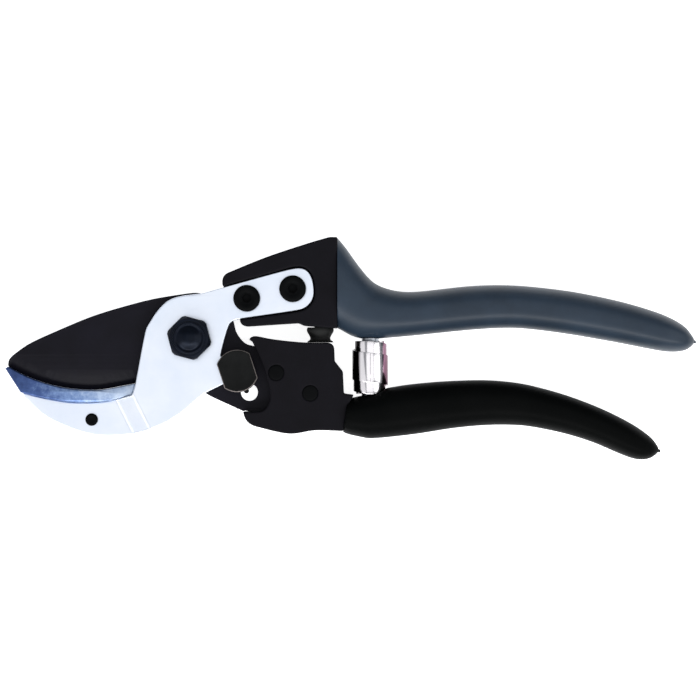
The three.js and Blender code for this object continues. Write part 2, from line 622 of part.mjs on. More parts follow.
// ---- spring ----
// A flat strip wound from its widest coil, in the middle, towards both ends. Each coil lies inside the last,
// and the last ones lie level, which closes the ends.
function voluteHalf(side) {
  const perTurn = 16;
  const middle = (SPRING_TOP + SPRING_BOTTOM) / 2;
  const travel = SPRING_TOP - middle - STRIP_WIDE / 2;
  const rings = Array.from({ length: SIDE_TURNS * perTurn + 1 }, (_, i) => {
    const turn = i / perTurn;
    const y = middle + side * travel * Math.min(1, turn / (SIDE_TURNS - CLOSED_TURNS));
    const angle = side * 2 * Math.PI * turn + Math.PI / 2;
    const r = SPRING_R - COIL_STEP * turn;
    const corner = (out, up) =>
      new THREE.Vector3(SPRING_X + (r + out) * Math.cos(angle), y + up, MID + (r + out) * Math.sin(angle));
    const t = STRIP_THICK / 2;
    const w = STRIP_WIDE / 2;
    return [corner(-t, -w), corner(t, -w), corner(t, w), corner(-t, w)];
  });
  return skinned(rings);
}

function springPeg(base, into) {
  const low = Math.min(base - into * PEG_IN_SPRING, base + into * PEG_IN_HANDLE);
  const high = Math.max(base - into * PEG_IN_SPRING, base + into * PEG_IN_HANDLE);
  return upright(PEG_R, low, high, SPRING_X);
}

function bladePin(centre) {
  const half = LOWER_HEAD_THICK / 2 + PIN_PROUD;
  return rod(PIN_R, MID - half, MID + half, centre, 24);
}

// ---- assembly ----
const shears = new THREE.Group();
shears.name = "pruning_shears";

function add(name, solid, look) {
  const mesh = new THREE.Mesh(toGeometry(solid), new THREE.MeshStandardMaterial(look));
  mesh.name = name;
  shears.add(mesh);
}

add("blade", blade(), { color: 0x17161b, roughness: 0.45, metalness: 0.3 });
add("jaw_plate", jawPlate(), nickel);
add("anvil", anvil(), { color: 0x6f8cc0, roughness: 0.4, metalness: 0.8 });
add("anvil_screw", anvilScrew(), blackened);
add("pivot_bolt", pivotBolt(), blackened);
add("pivot_bush", ringSolid(fitted(BOLT_R), BOLT_R + BUSH_WALL, BLADE_LOW, BLADE_HIGH), {
  color: 0xa9793d,
  roughness: 0.35,
  metalness: 0.9,
});
add("thrust_washer", ringSolid(fitted(BOLT_R), WASHER_R, washerLow, washerLow + WASHER_THICK), steel);
add("pivot_nut", pivotNut(), blackened);
for (const [place, centre] of Object.entries(PLATE_SCREWS)) {
  add(`jaw_screw_${place}`, jawScrew(centre), blackened);
  add(`jaw_nut_${place}`, jawNut(centre), blackened);
}
for (const [place, centre] of Object.entries(BLADE_PINS)) {
  add(`blade_pin_${place}`, bladePin(centre), blackened);
}
add("latch_button", latchButton(), blackened);
const onShank = (r, low, high) => ringSolid(fitted(SHANK_R), r, low, high, LATCH_PIVOT, 20);
add("latch_wave_washer", onShank(WAVE_WASHER_R, waveHigh - WAVE_WASHER_THICK, waveHigh), steel);
add("latch_retainer", onShank(RETAINER_R, retainerLow, retainerHigh), blackened);
add("upper_handle", upperHandle(), black);
add("lower_handle", lowerHandle(), black);
add("upper_grip", upperGrip(), { color: 0x3c4653, roughness: 0.5, metalness: 0 });
add("lower_grip", lowerGrip(), { color: 0x0b0d0c, roughness: 0.4, metalness: 0 });
add("stop_buffer", buffer(), { color: 0x0a0b0b, roughness: 0.85, metalness: 0 });
add("volute_spring", voluteHalf(1).add(voluteHalf(-1)), { color: 0xf2eef0, roughness: 0.1, metalness: 1 });
add("upper_spring_peg", springPeg(SPRING_TOP, 1), steel);
add("lower_spring_peg", springPeg(SPRING_BOTTOM, -1), steel);

export default shears;
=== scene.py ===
# %% [markdown]
# # Anvil pruning shears
# The shears lie on their back, closed. A black curved blade closes onto a soft alloy anvil. The anvil sits
# on a bright cranked jaw plate, which is screwed to the black head of the upper handle. The blade's tail is
# pinned in the fork of the lower handle, and a latch turns on it. Vinyl sleeves cover both handles, and a
# volute spring pushes them apart.
#
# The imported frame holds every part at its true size. Each cell below takes one part, gives it the edges,
# curves and finish of the real thing, and lets it ride on the body that carries it.

# %% Load the frame
import json
import math

import bmesh
import bpy
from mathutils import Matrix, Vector


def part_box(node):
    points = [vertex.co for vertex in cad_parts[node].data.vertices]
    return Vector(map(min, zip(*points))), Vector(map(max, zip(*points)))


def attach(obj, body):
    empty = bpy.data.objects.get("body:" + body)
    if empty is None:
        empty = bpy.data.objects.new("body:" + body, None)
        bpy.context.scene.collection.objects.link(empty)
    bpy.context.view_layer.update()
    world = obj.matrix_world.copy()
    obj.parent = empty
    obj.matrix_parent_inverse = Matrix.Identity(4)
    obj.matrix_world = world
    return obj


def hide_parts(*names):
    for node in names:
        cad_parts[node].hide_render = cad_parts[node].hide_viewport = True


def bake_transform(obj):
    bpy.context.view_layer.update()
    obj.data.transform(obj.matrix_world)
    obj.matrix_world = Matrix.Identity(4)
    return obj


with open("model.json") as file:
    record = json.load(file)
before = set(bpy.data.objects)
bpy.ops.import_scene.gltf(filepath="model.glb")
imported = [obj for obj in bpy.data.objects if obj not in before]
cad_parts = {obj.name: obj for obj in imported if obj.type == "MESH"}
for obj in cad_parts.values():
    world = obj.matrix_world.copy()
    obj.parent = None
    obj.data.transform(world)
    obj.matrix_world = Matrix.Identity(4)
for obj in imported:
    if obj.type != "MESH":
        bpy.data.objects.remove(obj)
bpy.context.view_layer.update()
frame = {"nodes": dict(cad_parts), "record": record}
MM = 0.001
record = frame["record"]
body_of = {node: body for body, nodes in record["behaviour"]["bodies"].items() for node in nodes}


def middle(node):
    """The centre of a CAD node's box."""
    low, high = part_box(node)
    return (low + high) / 2


MID = middle("blade").z  # the plane that the blade lies in
print("the blade lies", round(MID / MM, 2), "mm above the floor")

# %% [markdown]
# ## Selecting by place
# An operator acts on whatever is selected, and a freshly loaded frame is selected all over. So every step
# starts from nothing selected, and picks its faces by where they lie or which way they look. A primitive gets
# its name and has its placement applied as soon as it is added, so every piece stays at the origin.

# %% Selection helpers
LOOKS_UP = 0.3  # a face looks up when its normal's z is above this
SAME_PLANE = 0.01 * MM  # points nearer than this to a plane are on it
DOUBLES = 0.002 * MM  # points nearer than this to each other are one


def select_only(obj):
    if bpy.context.mode != "OBJECT":
        bpy.ops.object.mode_set(mode="OBJECT")
    bpy.ops.object.select_all(action="DESELECT")
    obj.select_set(True)
    bpy.context.view_layer.objects.active = obj


def select_whole():
    """Selects all of the open mesh."""
    bpy.ops.mesh.select_all(action="SELECT")


def edit(obj, kind="FACE"):
    """Opens obj in edit mode with nothing selected."""
    select_only(obj)
    bpy.ops.object.mode_set(mode="EDIT")
    bpy.ops.mesh.select_mode(type=kind)
    bpy.ops.mesh.select_all(action="DESELECT")


def pick(obj, wanted, kind="faces"):
    """Selects the faces, or verts, of the open mesh for which wanted(element) is true, and counts them."""
    count = 0
    for element in getattr(bmesh.from_edit_mesh(obj.data), kind):
        element.select_set(bool(wanted(element)))
        count += element.select
    bmesh.update_edit_mesh(obj.data)
    return count


def face_outwards():
    """Turns all faces of the open mesh outwards."""
    select_whole()
    bpy.ops.mesh.normals_make_consistent(inside=False)


def extrude_by(step):
    """Extrudes the selection by a vector."""
    bpy.ops.mesh.extrude_region_move(TRANSFORM_OT_translate={"value": step})


def close():
    """Merges doubles in the open mesh, turns its faces outwards and leaves edit mode."""
    select_whole()
    bpy.ops.mesh.remove_doubles(threshold=DOUBLES)
    face_outwards()
    bpy.ops.object.mode_set(mode="OBJECT")


def apply_placement(obj):
    select_only(obj)
    bpy.ops.object.transform_apply(location=True, rotation=True, scale=True)


def added(name):
    """The primitive just added, named and with its placement applied."""
    obj = bpy.context.object
    obj.name = name
    apply_placement(obj)
    return obj


def apply_modifier(obj, kind, **settings):
    select_only(obj)
    modifier = obj.modifiers.new(kind.title(), kind)
    for name, value in settings.items():
        setattr(modifier, name, value)
    bpy.ops.object.modifier_apply(modifier=modifier.name)


def boolean(obj, tool, operation):
    """Cuts obj with tool, or joins them, and removes the tool."""
    apply_modifier(obj, "BOOLEAN", object=tool, operation=operation, solver="EXACT")
    bpy.data.objects.remove(tool, do_unlink=True)


def soften(obj, width, segments=3, angle=32):
    """Rounds every edge sharper than angle, and keeps flat faces flat in the shading."""
    apply_modifier(
        obj, "BEVEL", width=width * MM, segments=segments, limit_method="ANGLE",
        angle_limit=math.radians(angle), use_clamp_overlap=False, miter_outer="MITER_ARC",
    )
    flat_faces_flat(obj)


def flat_faces_flat(obj):
    """Smooth shading that leans towards the large flat faces."""
    select_only(obj)
    bpy.ops.object.shade_smooth()
    apply_modifier(obj, "WEIGHTED_NORMAL", weight=50, keep_sharp=True)


bpy.ops.object.select_all(action="DESELECT")
print("nothing is selected:", len(bpy.context.selected_objects) == 0)

# %% [markdown]
# ## Camera, floor and light
# A long lens straight above the shears keeps both handles free of perspective. Black and bright metal side by
# side need a dim room with soft boxes: one above, which only the flat metal mirrors, one at each end, and a
# long strip on each side. The strip by the lower handle draws the light band along the sleeves.
#
# A light's power is worked out from the brightness that its face should have, so boxes of any size can be
# balanced against each other. The floor is a light table, matt and nearly white.

# %% Camera, floor and light
VIEW_CENTRE = (48.56 * MM, -3.64 * MM)
VIEW_WIDTH = 212.4 * MM
LENS = 150
SENSOR = 36
LOOK_AT_HEIGHT = 12 * MM

bpy.ops.object.camera_add(
    location=(*VIEW_CENTRE, LOOK_AT_HEIGHT + VIEW_WIDTH * LENS / SENSOR), rotation=(0, 0, 0)
)
camera = bpy.context.object
camera.data.lens = LENS
camera.data.sensor_width = SENSOR
camera.data.clip_start = 10 * MM
bpy.context.scene.camera = camera
bpy.context.scene.view_settings.view_transform = "Standard"


def linear(hex_colour):
    """An sRGB colour such as #3A424D as linear red, green, blue and alpha."""
    channels = [int(hex_colour[i : i + 2], 16) / 255 for i in (1, 3, 5)]
    return tuple(c / 12.92 if c <= 0.04045 else ((c + 0.055) / 1.055) ** 2.4 for c in channels) + (1,)


def soft_box(name, side, height, distance, size, radiance):
    """A box that shines on the work from side and height, both in degrees, as bright as radiance."""
    side, height = math.radians(side), math.radians(height)
    flat = distance * math.cos(height)
    place = Vector((flat * math.cos(side), flat * math.sin(side), distance * math.sin(height)))
    target = Vector((*VIEW_CENTRE, 0))
    bpy.ops.object.light_add(type="AREA", location=target + place)
    light = bpy.context.object
    light.name = name
    light.data.shape = "RECTANGLE"
    light.data.size, light.data.size_y = size
    light.data.energy = radiance * math.pi * size[0] * size[1]
    light.rotation_euler = place.to_track_quat("Z", "Y").to_euler()


# Name, side and height in degrees, distance and size in metres, radiance.
LIGHTS = [
    ("box_above", 90, 90, 1.3, (1.25, 1.1), 0.86),
    ("strip_by_lower_handle", -90, 47, 1.2, (2.4, 0.3), 7.5),
    ("strip_by_upper_handle", 90, 20, 1.2, (2.4, 0.3), 0.4),
    ("box_by_grips", 0, 42, 1.3, (0.9, 0.9), 1.6),
    ("box_by_blade", 203, 32, 1.3, (2.2, 1.1), 0.57),
]
for settings in LIGHTS:
    soft_box(*settings)

world = bpy.data.worlds.new("dim_tent")
bpy.context.scene.world = world
world.use_nodes = True
tent = world.node_tree.nodes["Background"]
tent.inputs["Color"].default_value = linear("#EEF2F8")
tent.inputs["Strength"].default_value = 0.3

bpy.ops.mesh.primitive_plane_add(size=6, location=(0, 0, -0.05 * MM))
floor = bpy.context.object
floor.name = "studio_floor"
print("the camera stands", round(camera.location.z, 3), "m above the floor")

# %% [markdown]
# ## Materials
# Every finish is procedural and reads the Object coordinates, in metres, so a pattern of a given size in
# millimetres has a scale of 1000 divided by that size. One helper adds any node with its settings and links.
# Almost every real finish drifts a little in colour and gloss, and has a fine relief, so that much is shared.
# What is special about a finish, such as brushing, scuffs or milling, is laid over it.

# %% Material helpers


def add_node(tree, kind, inputs=None, links=None, stops=(), **settings):
    """Adds a shader node with its input values, its links, its colour stops and its other settings."""
    node = tree.nodes.new("ShaderNode" + kind)
    for name, value in settings.items():
        setattr(node, name, value)
    for name, value in (inputs or {}).items():
        node.inputs[name].default_value = value
    for name, output in (links or {}).items():
        tree.links.new(output, node.inputs[name])
    for k, (position, hex_colour) in enumerate(stops):
        element = node.color_ramp.elements[k] if k < 2 else node.color_ramp.elements.new(position)
        element.position = position
        element.color = linear(hex_colour)
    return node


def grain(size):
    """The texture scale that gives features of about size millimetres."""
    return 1000 / size


def base_finish(name, stops, cloud, roughness, fine, depth, **constants):
    """A finish that drifts over cloud mm, with a relief of fine mm across and depth mm high."""
    material = bpy.data.materials.new(name)
    material.use_nodes = True
    tree = material.node_tree
    shader = tree.nodes["Principled BSDF"]
    for socket, value in constants.items():
        shader.inputs[socket.replace("_", " ")].default_value = value
    place = add_node(tree, "TexCoord").outputs["Object"]
    noise = {"Scale": grain(cloud), "Detail": 4, "Roughness": 0.6}
    drift = add_node(tree, "TexNoise", noise, {"Vector": place}).outputs["Fac"]
    colour = add_node(tree, "ValToRGB", links={"Fac": drift}, stops=stops).outputs["Color"]
    low, high = roughness
    gloss = add_node(tree, "MapRange", {"To Min": low, "To Max": high}, {"Value": drift}).outputs["Result"]
    relief = add_node(tree, "TexNoise", {"Scale": grain(fine), "Detail": 2}, {"Vector": place}).outputs["Fac"]
    height = {"Distance": depth * MM, "Strength": 0.5}
    bump = add_node(tree, "Bump", height, {"Height": relief}).outputs["Normal"]
    tree.links.new(colour, shader.inputs["Base Color"])
    tree.links.new(gloss, shader.inputs["Roughness"])
    tree.links.new(bump, shader.inputs["Normal"])
    return material, tree, shader, place


def lay_over(tree, shader, pattern, depth, roughness=None):
    """Lays a pattern over the relief that the shader has, and over its gloss if a range is given."""
    before = shader.inputs["Normal"].links[0].from_socket
    height = {"Distance": depth * MM, "Strength": 0.5}
    bump = add_node(tree, "Bump", height, {"Height": pattern, "Normal": before}).outputs["Normal"]
    tree.links.new(bump, shader.inputs["Normal"])
    if roughness:
        low, high = roughness
        gloss = add_node(tree, "MapRange", {"To Min": low, "To Max": high}, {"Value": pattern})
        tree.links.new(gloss.outputs["Result"], shader.inputs["Roughness"])


def fine_lines(tree, place, along, across, turn=0):
    """Short lines, along by across millimetres, turned by turn degrees: brushing, grinding or milling."""
    size = {"Rotation": (0, 0, math.radians(turn)), "Scale": (grain(along), grain(across), grain(1))}
    stretched = add_node(tree, "Mapping", size, {"Vector": place}).outputs["Vector"]
    noise = {"Scale": 1, "Detail": 4, "Roughness": 0.6}
    return add_node(tree, "TexNoise", noise, {"Vector": stretched}).outputs["Fac"]


print("1 mm grain has scale", grain(1))

# %% [markdown]
# **Floor.** A light table: white acrylic, matt on top and lit from below, so that the shadows stay faint and
# the gap between the handles stays bright. It needs little more than a trace of unevenness.

# %% Light table
lit_acrylic = base_finish(
    "lit_white_acrylic", [(0.3, "#EDEEF0"), (0.7, "#F1F2F3")], 400, (0.95, 1.0), 3, 0.01,
    Specular_IOR_Level=0.0, Emission_Color=linear("#FFFFFF"), Emission_Strength=0.86,
)[0]
floor.data.materials.append(lit_acrylic)
print("the floor is", lit_acrylic.name)

# %% [markdown]
# **Slate and black vinyl.** The sleeves are dipped in plastisol, a soft vinyl that flows as it cures. That
# leaves a smooth skin with a faint orange peel of about two millimetres, and a satin gloss that varies a
# little from place to place. Handling leaves fine scuffs that only show in the highlight. The black vinyl is
# drier than the slate one, so it takes less of the light.

# %% Dipped vinyl


def dipped_vinyl(name, dark, light, roughness, gloss):
    material, tree, shader, place = base_finish(
        name, [(0.3, dark), (0.7, light)], 14, (0.4, 0.5), 2.2, 0.035, Specular_IOR_Level=gloss
    )
    noise = {"Scale": grain(0.9), "Detail": 6, "Roughness": 0.7}
    scuffs = add_node(tree, "TexNoise", noise, {"Vector": place}).outputs["Fac"]
    lay_over(tree, shader, scuffs, 0.006, (roughness - 0.07, roughness + 0.09))
    return material


slate_vinyl = dipped_vinyl("dipped_vinyl_slate", "#1F2A36", "#263341", 0.4, 0.25)
black_vinyl = dipped_vinyl("dipped_vinyl_black", "#030404", "#060707", 0.5, 0.03)
print("the sleeves are", slate_vinyl.name, "and", black_vinyl.name)

# %% [markdown]
# **Coated forgings and blade.** The heads are forged alloy under a thin black powder coat, which is matt
# with a pimpled surface about half a millimetre across. The blade has a smoother black fluoropolymer
# coat, sprayed on ground steel, so the grinding still shows faintly as fine lines along the blade.

# %% Black coats
coated_forging = base_finish(
    "powder_coat_black", [(0.3, "#09080D"), (0.72, "#0E0D13")], 9, (0.5, 0.64), 0.45, 0.033,
    Specular_IOR_Level=0.09,
)[0]

BLADE_TURN = -28  # degrees from the X axis to the blade's length
coated_blade, tree, shader, place = base_finish(
    "fluoropolymer_coat_black", [(0.28, "#0A0910"), (0.75, "#111019")], 11, (0.4, 0.55), 0.35, 0.012,
    Specular_IOR_Level=0.11,
)
lay_over(tree, shader, fine_lines(tree, place, 9, 0.16, BLADE_TURN), 0.01)
print("the black coats are", coated_forging.name, "and", coated_blade.name)

# %% [markdown]
# **Bright nickel.** The jaw plate is stamped from steel sheet, tumbled and nickel plated. The plating is
# nearly white with a cool cast, and keeps the satin of the tumbled steel: soft cloudy patches, and short
# fine brushing across the sheet.

# %% Satin nickel
nickel, tree, shader, place = base_finish(
    "satin_nickel_plate", [(0.25, "#DCE4F1"), (0.55, "#E4EAF5"), (0.8, "#EBF0F8")], 13, (0.26, 0.36), 7, 0.04,
    Metallic=1.0,
)
lay_over(tree, shader, fine_lines(tree, place, 0.14, 7), 0.004, (0.24, 0.4))
print("the jaw plate is", nickel.name)

# %% [markdown]
# ** Anvil alloy.** The anvil is a soft alloy bar, milled on its faces. Handling and sap leave it mottled,
# and it is deep blue-grey towards the tip and paler towards the heel. So the colour follows the place along
# the bar, shifted by a noise, and the milling marks lie across it.

# %% Mottled alloy
ALLOY_STOPS = [(0.25, "#2C3D68"), (0.42, "#42588A"), (0.55, "#6F88B4"), (0.72, "#A9BBD6"), (0.9, "#CDD9E8")]
alloy, tree, shader, place = base_finish(
    "milled_soft_alloy", ALLOY_STOPS, 2.6, (0.28, 0.5), 0.5, 0.008, Metallic=0.75
)
anvil_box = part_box("anvil")
along = add_node(tree, "SeparateXYZ", links={"Vector": place}).outputs["X"]
ends = {"From Min": anvil_box[0].x, "From Max": anvil_box[1].x, "To Max": 0.5}
share = add_node(tree, "MapRange", ends, {"Value": along}).outputs["Result"]
noise = {"Scale": grain(2.6), "Detail": 6, "Roughness": 0.72}
mottle = add_node(tree, "TexNoise", noise, {"Vector": place}).outputs["Fac"]
shade = add_node(tree, "Math", {1: 0.58}, {0: mottle, 2: share}, operation="MULTIPLY_ADD").outputs["Value"]
colour = add_node(tree, "ValToRGB", links={"Fac": shade}, stops=ALLOY_STOPS).outputs["Color"]
tree.links.new(colour, shader.inputs["Base Color"])
lay_over(tree, shader, fine_lines(tree, place, 0.3, 5), 0.015)
print("the anvil is", alloy.name)

# %% [markdown]
# ** Blackened steel.** The bolt and the nuts are oil-blackened: a thin dark oxide with a faint blue cast that
# still shines like metal on its edges. The screws and pins have worn dry. The latch is phosphated, which is
# greyer, and it keeps the fine lines of the belt that finished its face. Its rim is given bright bare steel,
# partly the wear of the thumb and partly a painted highlight along the rim.

# %% Dark steels
black_oxide = base_finish(
    "black_oxide_steel", [(0.3, "#070B14"), (0.75, "#0E1522")], 3.5, (0.22, 0.4), 0.5, 0.01,
    Metallic=0.5, Specular_IOR_Level=0.16,
)[0]
dry_oxide = base_finish(
    "dry_black_oxide_steel", [(0.3, "#030405"), (0.75, "#070809")], 3.5, (0.5, 0.62), 0.5, 0.012,
    Specular_IOR_Level=0.05,
)[0]
phosphate, tree, shader, place = base_finish(
    "phosphated_steel", [(0.3, "#0D0E0E"), (0.75, "#161717")], 3.5, (0.36, 0.54), 0.5, 0.01,
    Metallic=0.5, Specular_IOR_Level=0.16,
)
lay_over(tree, shader, fine_lines(tree, place, 0.3, 8), 0.012)
rim_wear_and_highlight_steel = base_finish(
    "bare_steel_worn_and_painted_highlight", [(0.3, "#5A5452"), (0.7, "#7C7573")], 1.2, (0.34, 0.46), 0.3, 0.006, Metallic=0.8
)[0]
print("the dark steels are", black_oxide.name, dry_oxide.name, phosphate.name, "and", rim_wear_and_highlight_steel.name)

# %% [markdown]
# ** Bright fittings.** Zinc on the washers and pegs is a soft grey with a crystalline bloom. The bush is
# sintered bronze. The spring is polished and chromed, so it mirrors the black heads beside it; that
# reflection is painted into its colour as a black band along the side that faces the pivot, and the other
# side is coloured purple. The spring changes shape as the handles move, so the painted band follows an
# attribute, stored on its points when it is made.

# %% Zinc, bronze and chrome
zinc = base_finish(
    "zinc_plated_steel", [(0.3, "#9EA2A8"), (0.7, "#C4C8CE")], 1.6, (0.27, 0.42), 0.4, 0.003, Metallic=1.0
)[0]
bronze = base_finish(
    "sintered_bronze", [(0.3, "#8A6034"), (0.7, "#B08046")], 0.6, (0.34, 0.52), 0.4, 0.01, Metallic=1.0
)[0]
chrome, tree, shader, place = base_finish(
    "polished_chrome", [(0.3, "#EDE6EA"), (0.7, "#F7F5F7")], 4, (0.12, 0.17), 0.4, 0.001, Metallic=1.0
)
share = add_node(tree, "Attribute", attribute_name="across").outputs["Fac"]
# Painted reflection: the black stops stand for the black heads mirrored along the side that faces the pivot;
# the purple stops colour the other side.
painted_reflection_stops = [
    (0.02, "#120F11"), (0.17, "#241E22"), (0.24, "#F3EFF2"),
    (0.8, "#F5F2F4"), (0.87, "#8A6478"), (0.97, "#6E475A"),
]
colour = add_node(tree, "ValToRGB", links={"Fac": share}, stops=painted_reflection_stops).outputs["Color"]
tree.links.new(colour, shader.inputs["Base Color"])
print("the bright fittings are", zinc.name, bronze.name, "and", chrome.name)

# %% [markdown]
# **Rubber.** The stop is moulded nitrile rubber: black, almost without gloss, with a dusty bloom.

# %% Rubber
rubber = base_finish(
    "moulded_nitrile_rubber", [(0.3, "#070808"), (0.8, "#121313")], 1.8, (0.6, 0.8), 0.3, 0.015,
    Specular_IOR_Level=0.3,
)[0]
print("the stop is", rubber.name)

# %% [markdown]
# ## Handing a piece over
# A finished piece stands for its CAD node, which it hides, takes its finish, and rides on the node's
# body, so it moves with the joint that carries it.

# %% Hand over
CAD_GAP = 0.004 * MM  # points of a CAD node nearer than this are one


def hand_over(piece, node, material, rides=True):
    piece.data.materials.clear()
    piece.data.materials.append(material)
    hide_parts(node)
    if rides:
        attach(piece, body_of[node])
    triangles = sum(len(p.vertices) - 2 for p in piece.data.polygons)
    size = [round(d / MM, 1) for d in piece.dimensions]
    print(f"{piece.name}: {triangles} triangles, size in mm", size, "on", body_of[node])


def merged_copy(node, name):
    """A copy of a CAD node with its loose triangles merged into one skin."""
    piece = bpy.data.objects.new(name, frame["nodes"][node].data.copy())
    bpy.context.collection.objects.link(piece)
    edit(piece, "VERT")
    select_whole()
    bpy.ops.mesh.remove_doubles(threshold=CAD_GAP)
    bpy.ops.object.mode_set(mode="OBJECT")
    return piece


def smooth_by_angle(piece, degrees=40):
    select_only(piece)
    bpy.ops.object.shade_smooth_by_angle(angle=math.radians(degrees))


# %% [markdown]
# ## Flat pieces from their outlines
# A blade, a plate or an anvil is cut from sheet, so it is modelled as a fabricator would cut it: one flat
# outline with its holes, raised to its thickness, with its corners eased. The true outline is in the frame.
# The faces of the CAD node that look up are flattened, all but their rim is deleted, and the rim is filled.
#
# The arcs of the frame are short straight steps. Steps that meet at a shallow angle belong to an arc, so they
# are divided and relaxed into a curve first. Corners stay.

# %% Outline helpers
SHALLOW = math.radians(24)  # a turn below this, from one step of an outline to the next, is part of an arc
STRAIGHT = math.radians(1)  # a turn below this is no turn
LONGEST_STEP = 0.35 * MM  # an arc is divided until its steps are about this long


def turn_at(vertex):
    """How far the outline turns at this vertex. Where outlines touch, it is a corner."""
    if len(vertex.link_edges) != 2:
        return math.pi
    a, b = [edge.other_vert(vertex).co - vertex.co for edge in vertex.link_edges]
    return math.pi - a.angle(b)


def relax_arcs(piece):
    """Divides the shallow stretches of the open wire outline, and relaxes them into smooth curves."""
    mesh = bmesh.from_edit_mesh(piece.data)
    arcs = [v for v in mesh.verts if STRAIGHT < turn_at(v) < SHALLOW]
    for cuts in (3, 1):
        for edge in mesh.edges:
            step = LONGEST_STEP * (cuts + 0.6)
            edge.select_set(edge.calc_length() > step and any(v in arcs for v in edge.verts))
        bmesh.update_edit_mesh(piece.data)
        bpy.ops.mesh.subdivide(number_cuts=cuts)
        mesh = bmesh.from_edit_mesh(piece.data)
        arcs = [v for v in mesh.verts if turn_at(v) < SHALLOW]
    bpy.ops.mesh.select_mode(type="VERT")
    mesh = bmesh.from_edit_mesh(piece.data)
    for vertex in mesh.verts:
        near_corner = any(turn_at(edge.other_vert(vertex)) >= SHALLOW for edge in vertex.link_edges)
        vertex.select_set(turn_at(vertex) < SHALLOW and not near_corner)
    bmesh.update_edit_mesh(piece.data)
    bpy.ops.mesh.vertices_smooth(factor=0.5, repeat=10, zaxis=False)


def fill_rims():
    """Fills every open rim of the mesh, holes left out."""
    bpy.ops.mesh.select_mode(type="EDGE")
    bpy.ops.mesh.select_all(action="DESELECT")
    bpy.ops.mesh.select_non_manifold(extend=False)
    bpy.ops.mesh.fill(use_beauty=False)
    bpy.ops.mesh.select_mode(type="FACE")


def flatten(height):
    """Scales the selection flat, at height."""
    bpy.ops.transform.resize(value=(1, 1, 0), center_override=(0, 0, height))


def grow_outline(height, by):
    """Moves the open wire outline outwards: raised to a wall, the wall fattened, and flattened again."""
    select_whole()
    bpy.ops.mesh.extrude_edges_move(TRANSFORM_OT_translate={"value": (0, 0, MM)})
    face_outwards()
    bpy.ops.transform.shrink_fatten(value=by, use_even_offset=True)
    flatten(height)
    bpy.ops.mesh.remove_doubles(threshold=SAME_PLANE)


def outline_sheet(piece, height, grow=0):
    """Relaxes the open wire outline of the piece, grows it if asked, and fills it flat at height."""
    select_whole()
    flatten(height)
    relax_arcs(piece)
    if grow:
        grow_outline(height, grow)
    bpy.ops.mesh.select_mode(type="EDGE")
    select_whole()
    bpy.ops.mesh.fill(use_beauty=False)
    bpy.ops.mesh.select_mode(type="FACE")
    return piece


def outline_of_faces(node, name, height, wanted, grow=0):
    """The outline of the wanted CAD faces, as a flat sheet open in edit mode."""
    piece = merged_copy(node, name)
    edit(piece)
    pick(piece, lambda face: not wanted(face))
    bpy.ops.mesh.delete(type="FACE")
    select_whole()
    flatten(height)
    bpy.ops.mesh.remove_doubles(threshold=SAME_PLANE)
    bpy.ops.mesh.region_to_loop()
    bpy.ops.mesh.select_all(action="INVERT")
    bpy.ops.mesh.delete(type="EDGE")
    select_whole()
    bpy.ops.mesh.delete(type="ONLY_FACE")
    return outline_sheet(piece, height, grow)


def outline_of_section(node, name, height, cut):
    """The outline of a CAD node where a level plane cuts it, as a flat sheet open in edit mode."""
    piece = merged_copy(node, name)
    edit(piece, "EDGE")
    select_whole()
    bpy.ops.mesh.bisect(plane_co=(0, 0, cut), plane_no=(0, 0, 1), clear_inner=True, clear_outer=True)
    select_whole()
    bpy.ops.mesh.remove_doubles(threshold=0.02 * MM)
    bpy.ops.mesh.dissolve_limited(angle_limit=math.radians(0.5))
    return outline_sheet(piece, height)


def ease(piece, side, level, radius, steps):
    """Rounds the rim of the face that looks up (side 1) or down (-1) at level. One step is a bevel."""
    pick(
        piece, lambda f: f.normal.z * side > 0.99 and abs(f.calc_center_median().z - level) < SAME_PLANE
    )
    out, up = 0, 0
    for step in range(1, steps + 1):
        angle = math.pi / 2 * step / steps
        next_out, next_up = radius * (1 - math.cos(angle)), radius * math.sin(angle)
        bpy.ops.mesh.inset(thickness=next_out - out, depth=next_up - up, use_even_offset=False)
        out, up = next_out, next_up
    bpy.ops.mesh.delete(type="FACE")
    fill_rims()


def cut_from_sheet(piece, low, high, radius, steps=3):
    """Raises the open outline to a slab from low to high with eased corners."""
    face_outwards()
    mesh = bmesh.from_edit_mesh(piece.data)
    if sum(face.normal.z * face.calc_area() for face in mesh.faces) < 0:
        bpy.ops.mesh.flip_normals()
    extrude_by((0, 0, high - low - 2 * radius))
    face_outwards()
    ease(piece, 1, high - radius, radius, steps)
    ease(piece, -1, low + radius, radius, steps)
    close()


# %% [markdown]
# ## Blade
# A drop-forged blade, ground on both sides down to a thin edge, then coated. It is cut from its outline, and
# the grinding is done as the wheel does it: a wedge is carried along the cutting edge and taken away. The
# wedge is one triangle, extruded from place to place along the edge, and turned to stay square to it.

# %% Blade
GROUND_WIDE = 4 * MM  # measured in from the edge
EDGE_LAND = 0.3 * MM  # thickness left at the edge
OVER = 1 * MM  # the wheel passes this far beyond the edge and the face
RUN_IN, RUN_OUT = 3 * MM, 1.2 * MM  # and this far beyond the tip and the heel
EDGE_APART = 1.5 * MM  # at least this from one place along the edge to the next
EDGE_BEFORE, EDGE_BELOW = -10, -6  # the edge's X and Y stay below these, in millimetres
BLADE_EASED = 0.12 * MM  # corners of the blank
blade_low, blade_high = [corner.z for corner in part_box("blade")]
half_blade = (blade_high - blade_low) / 2


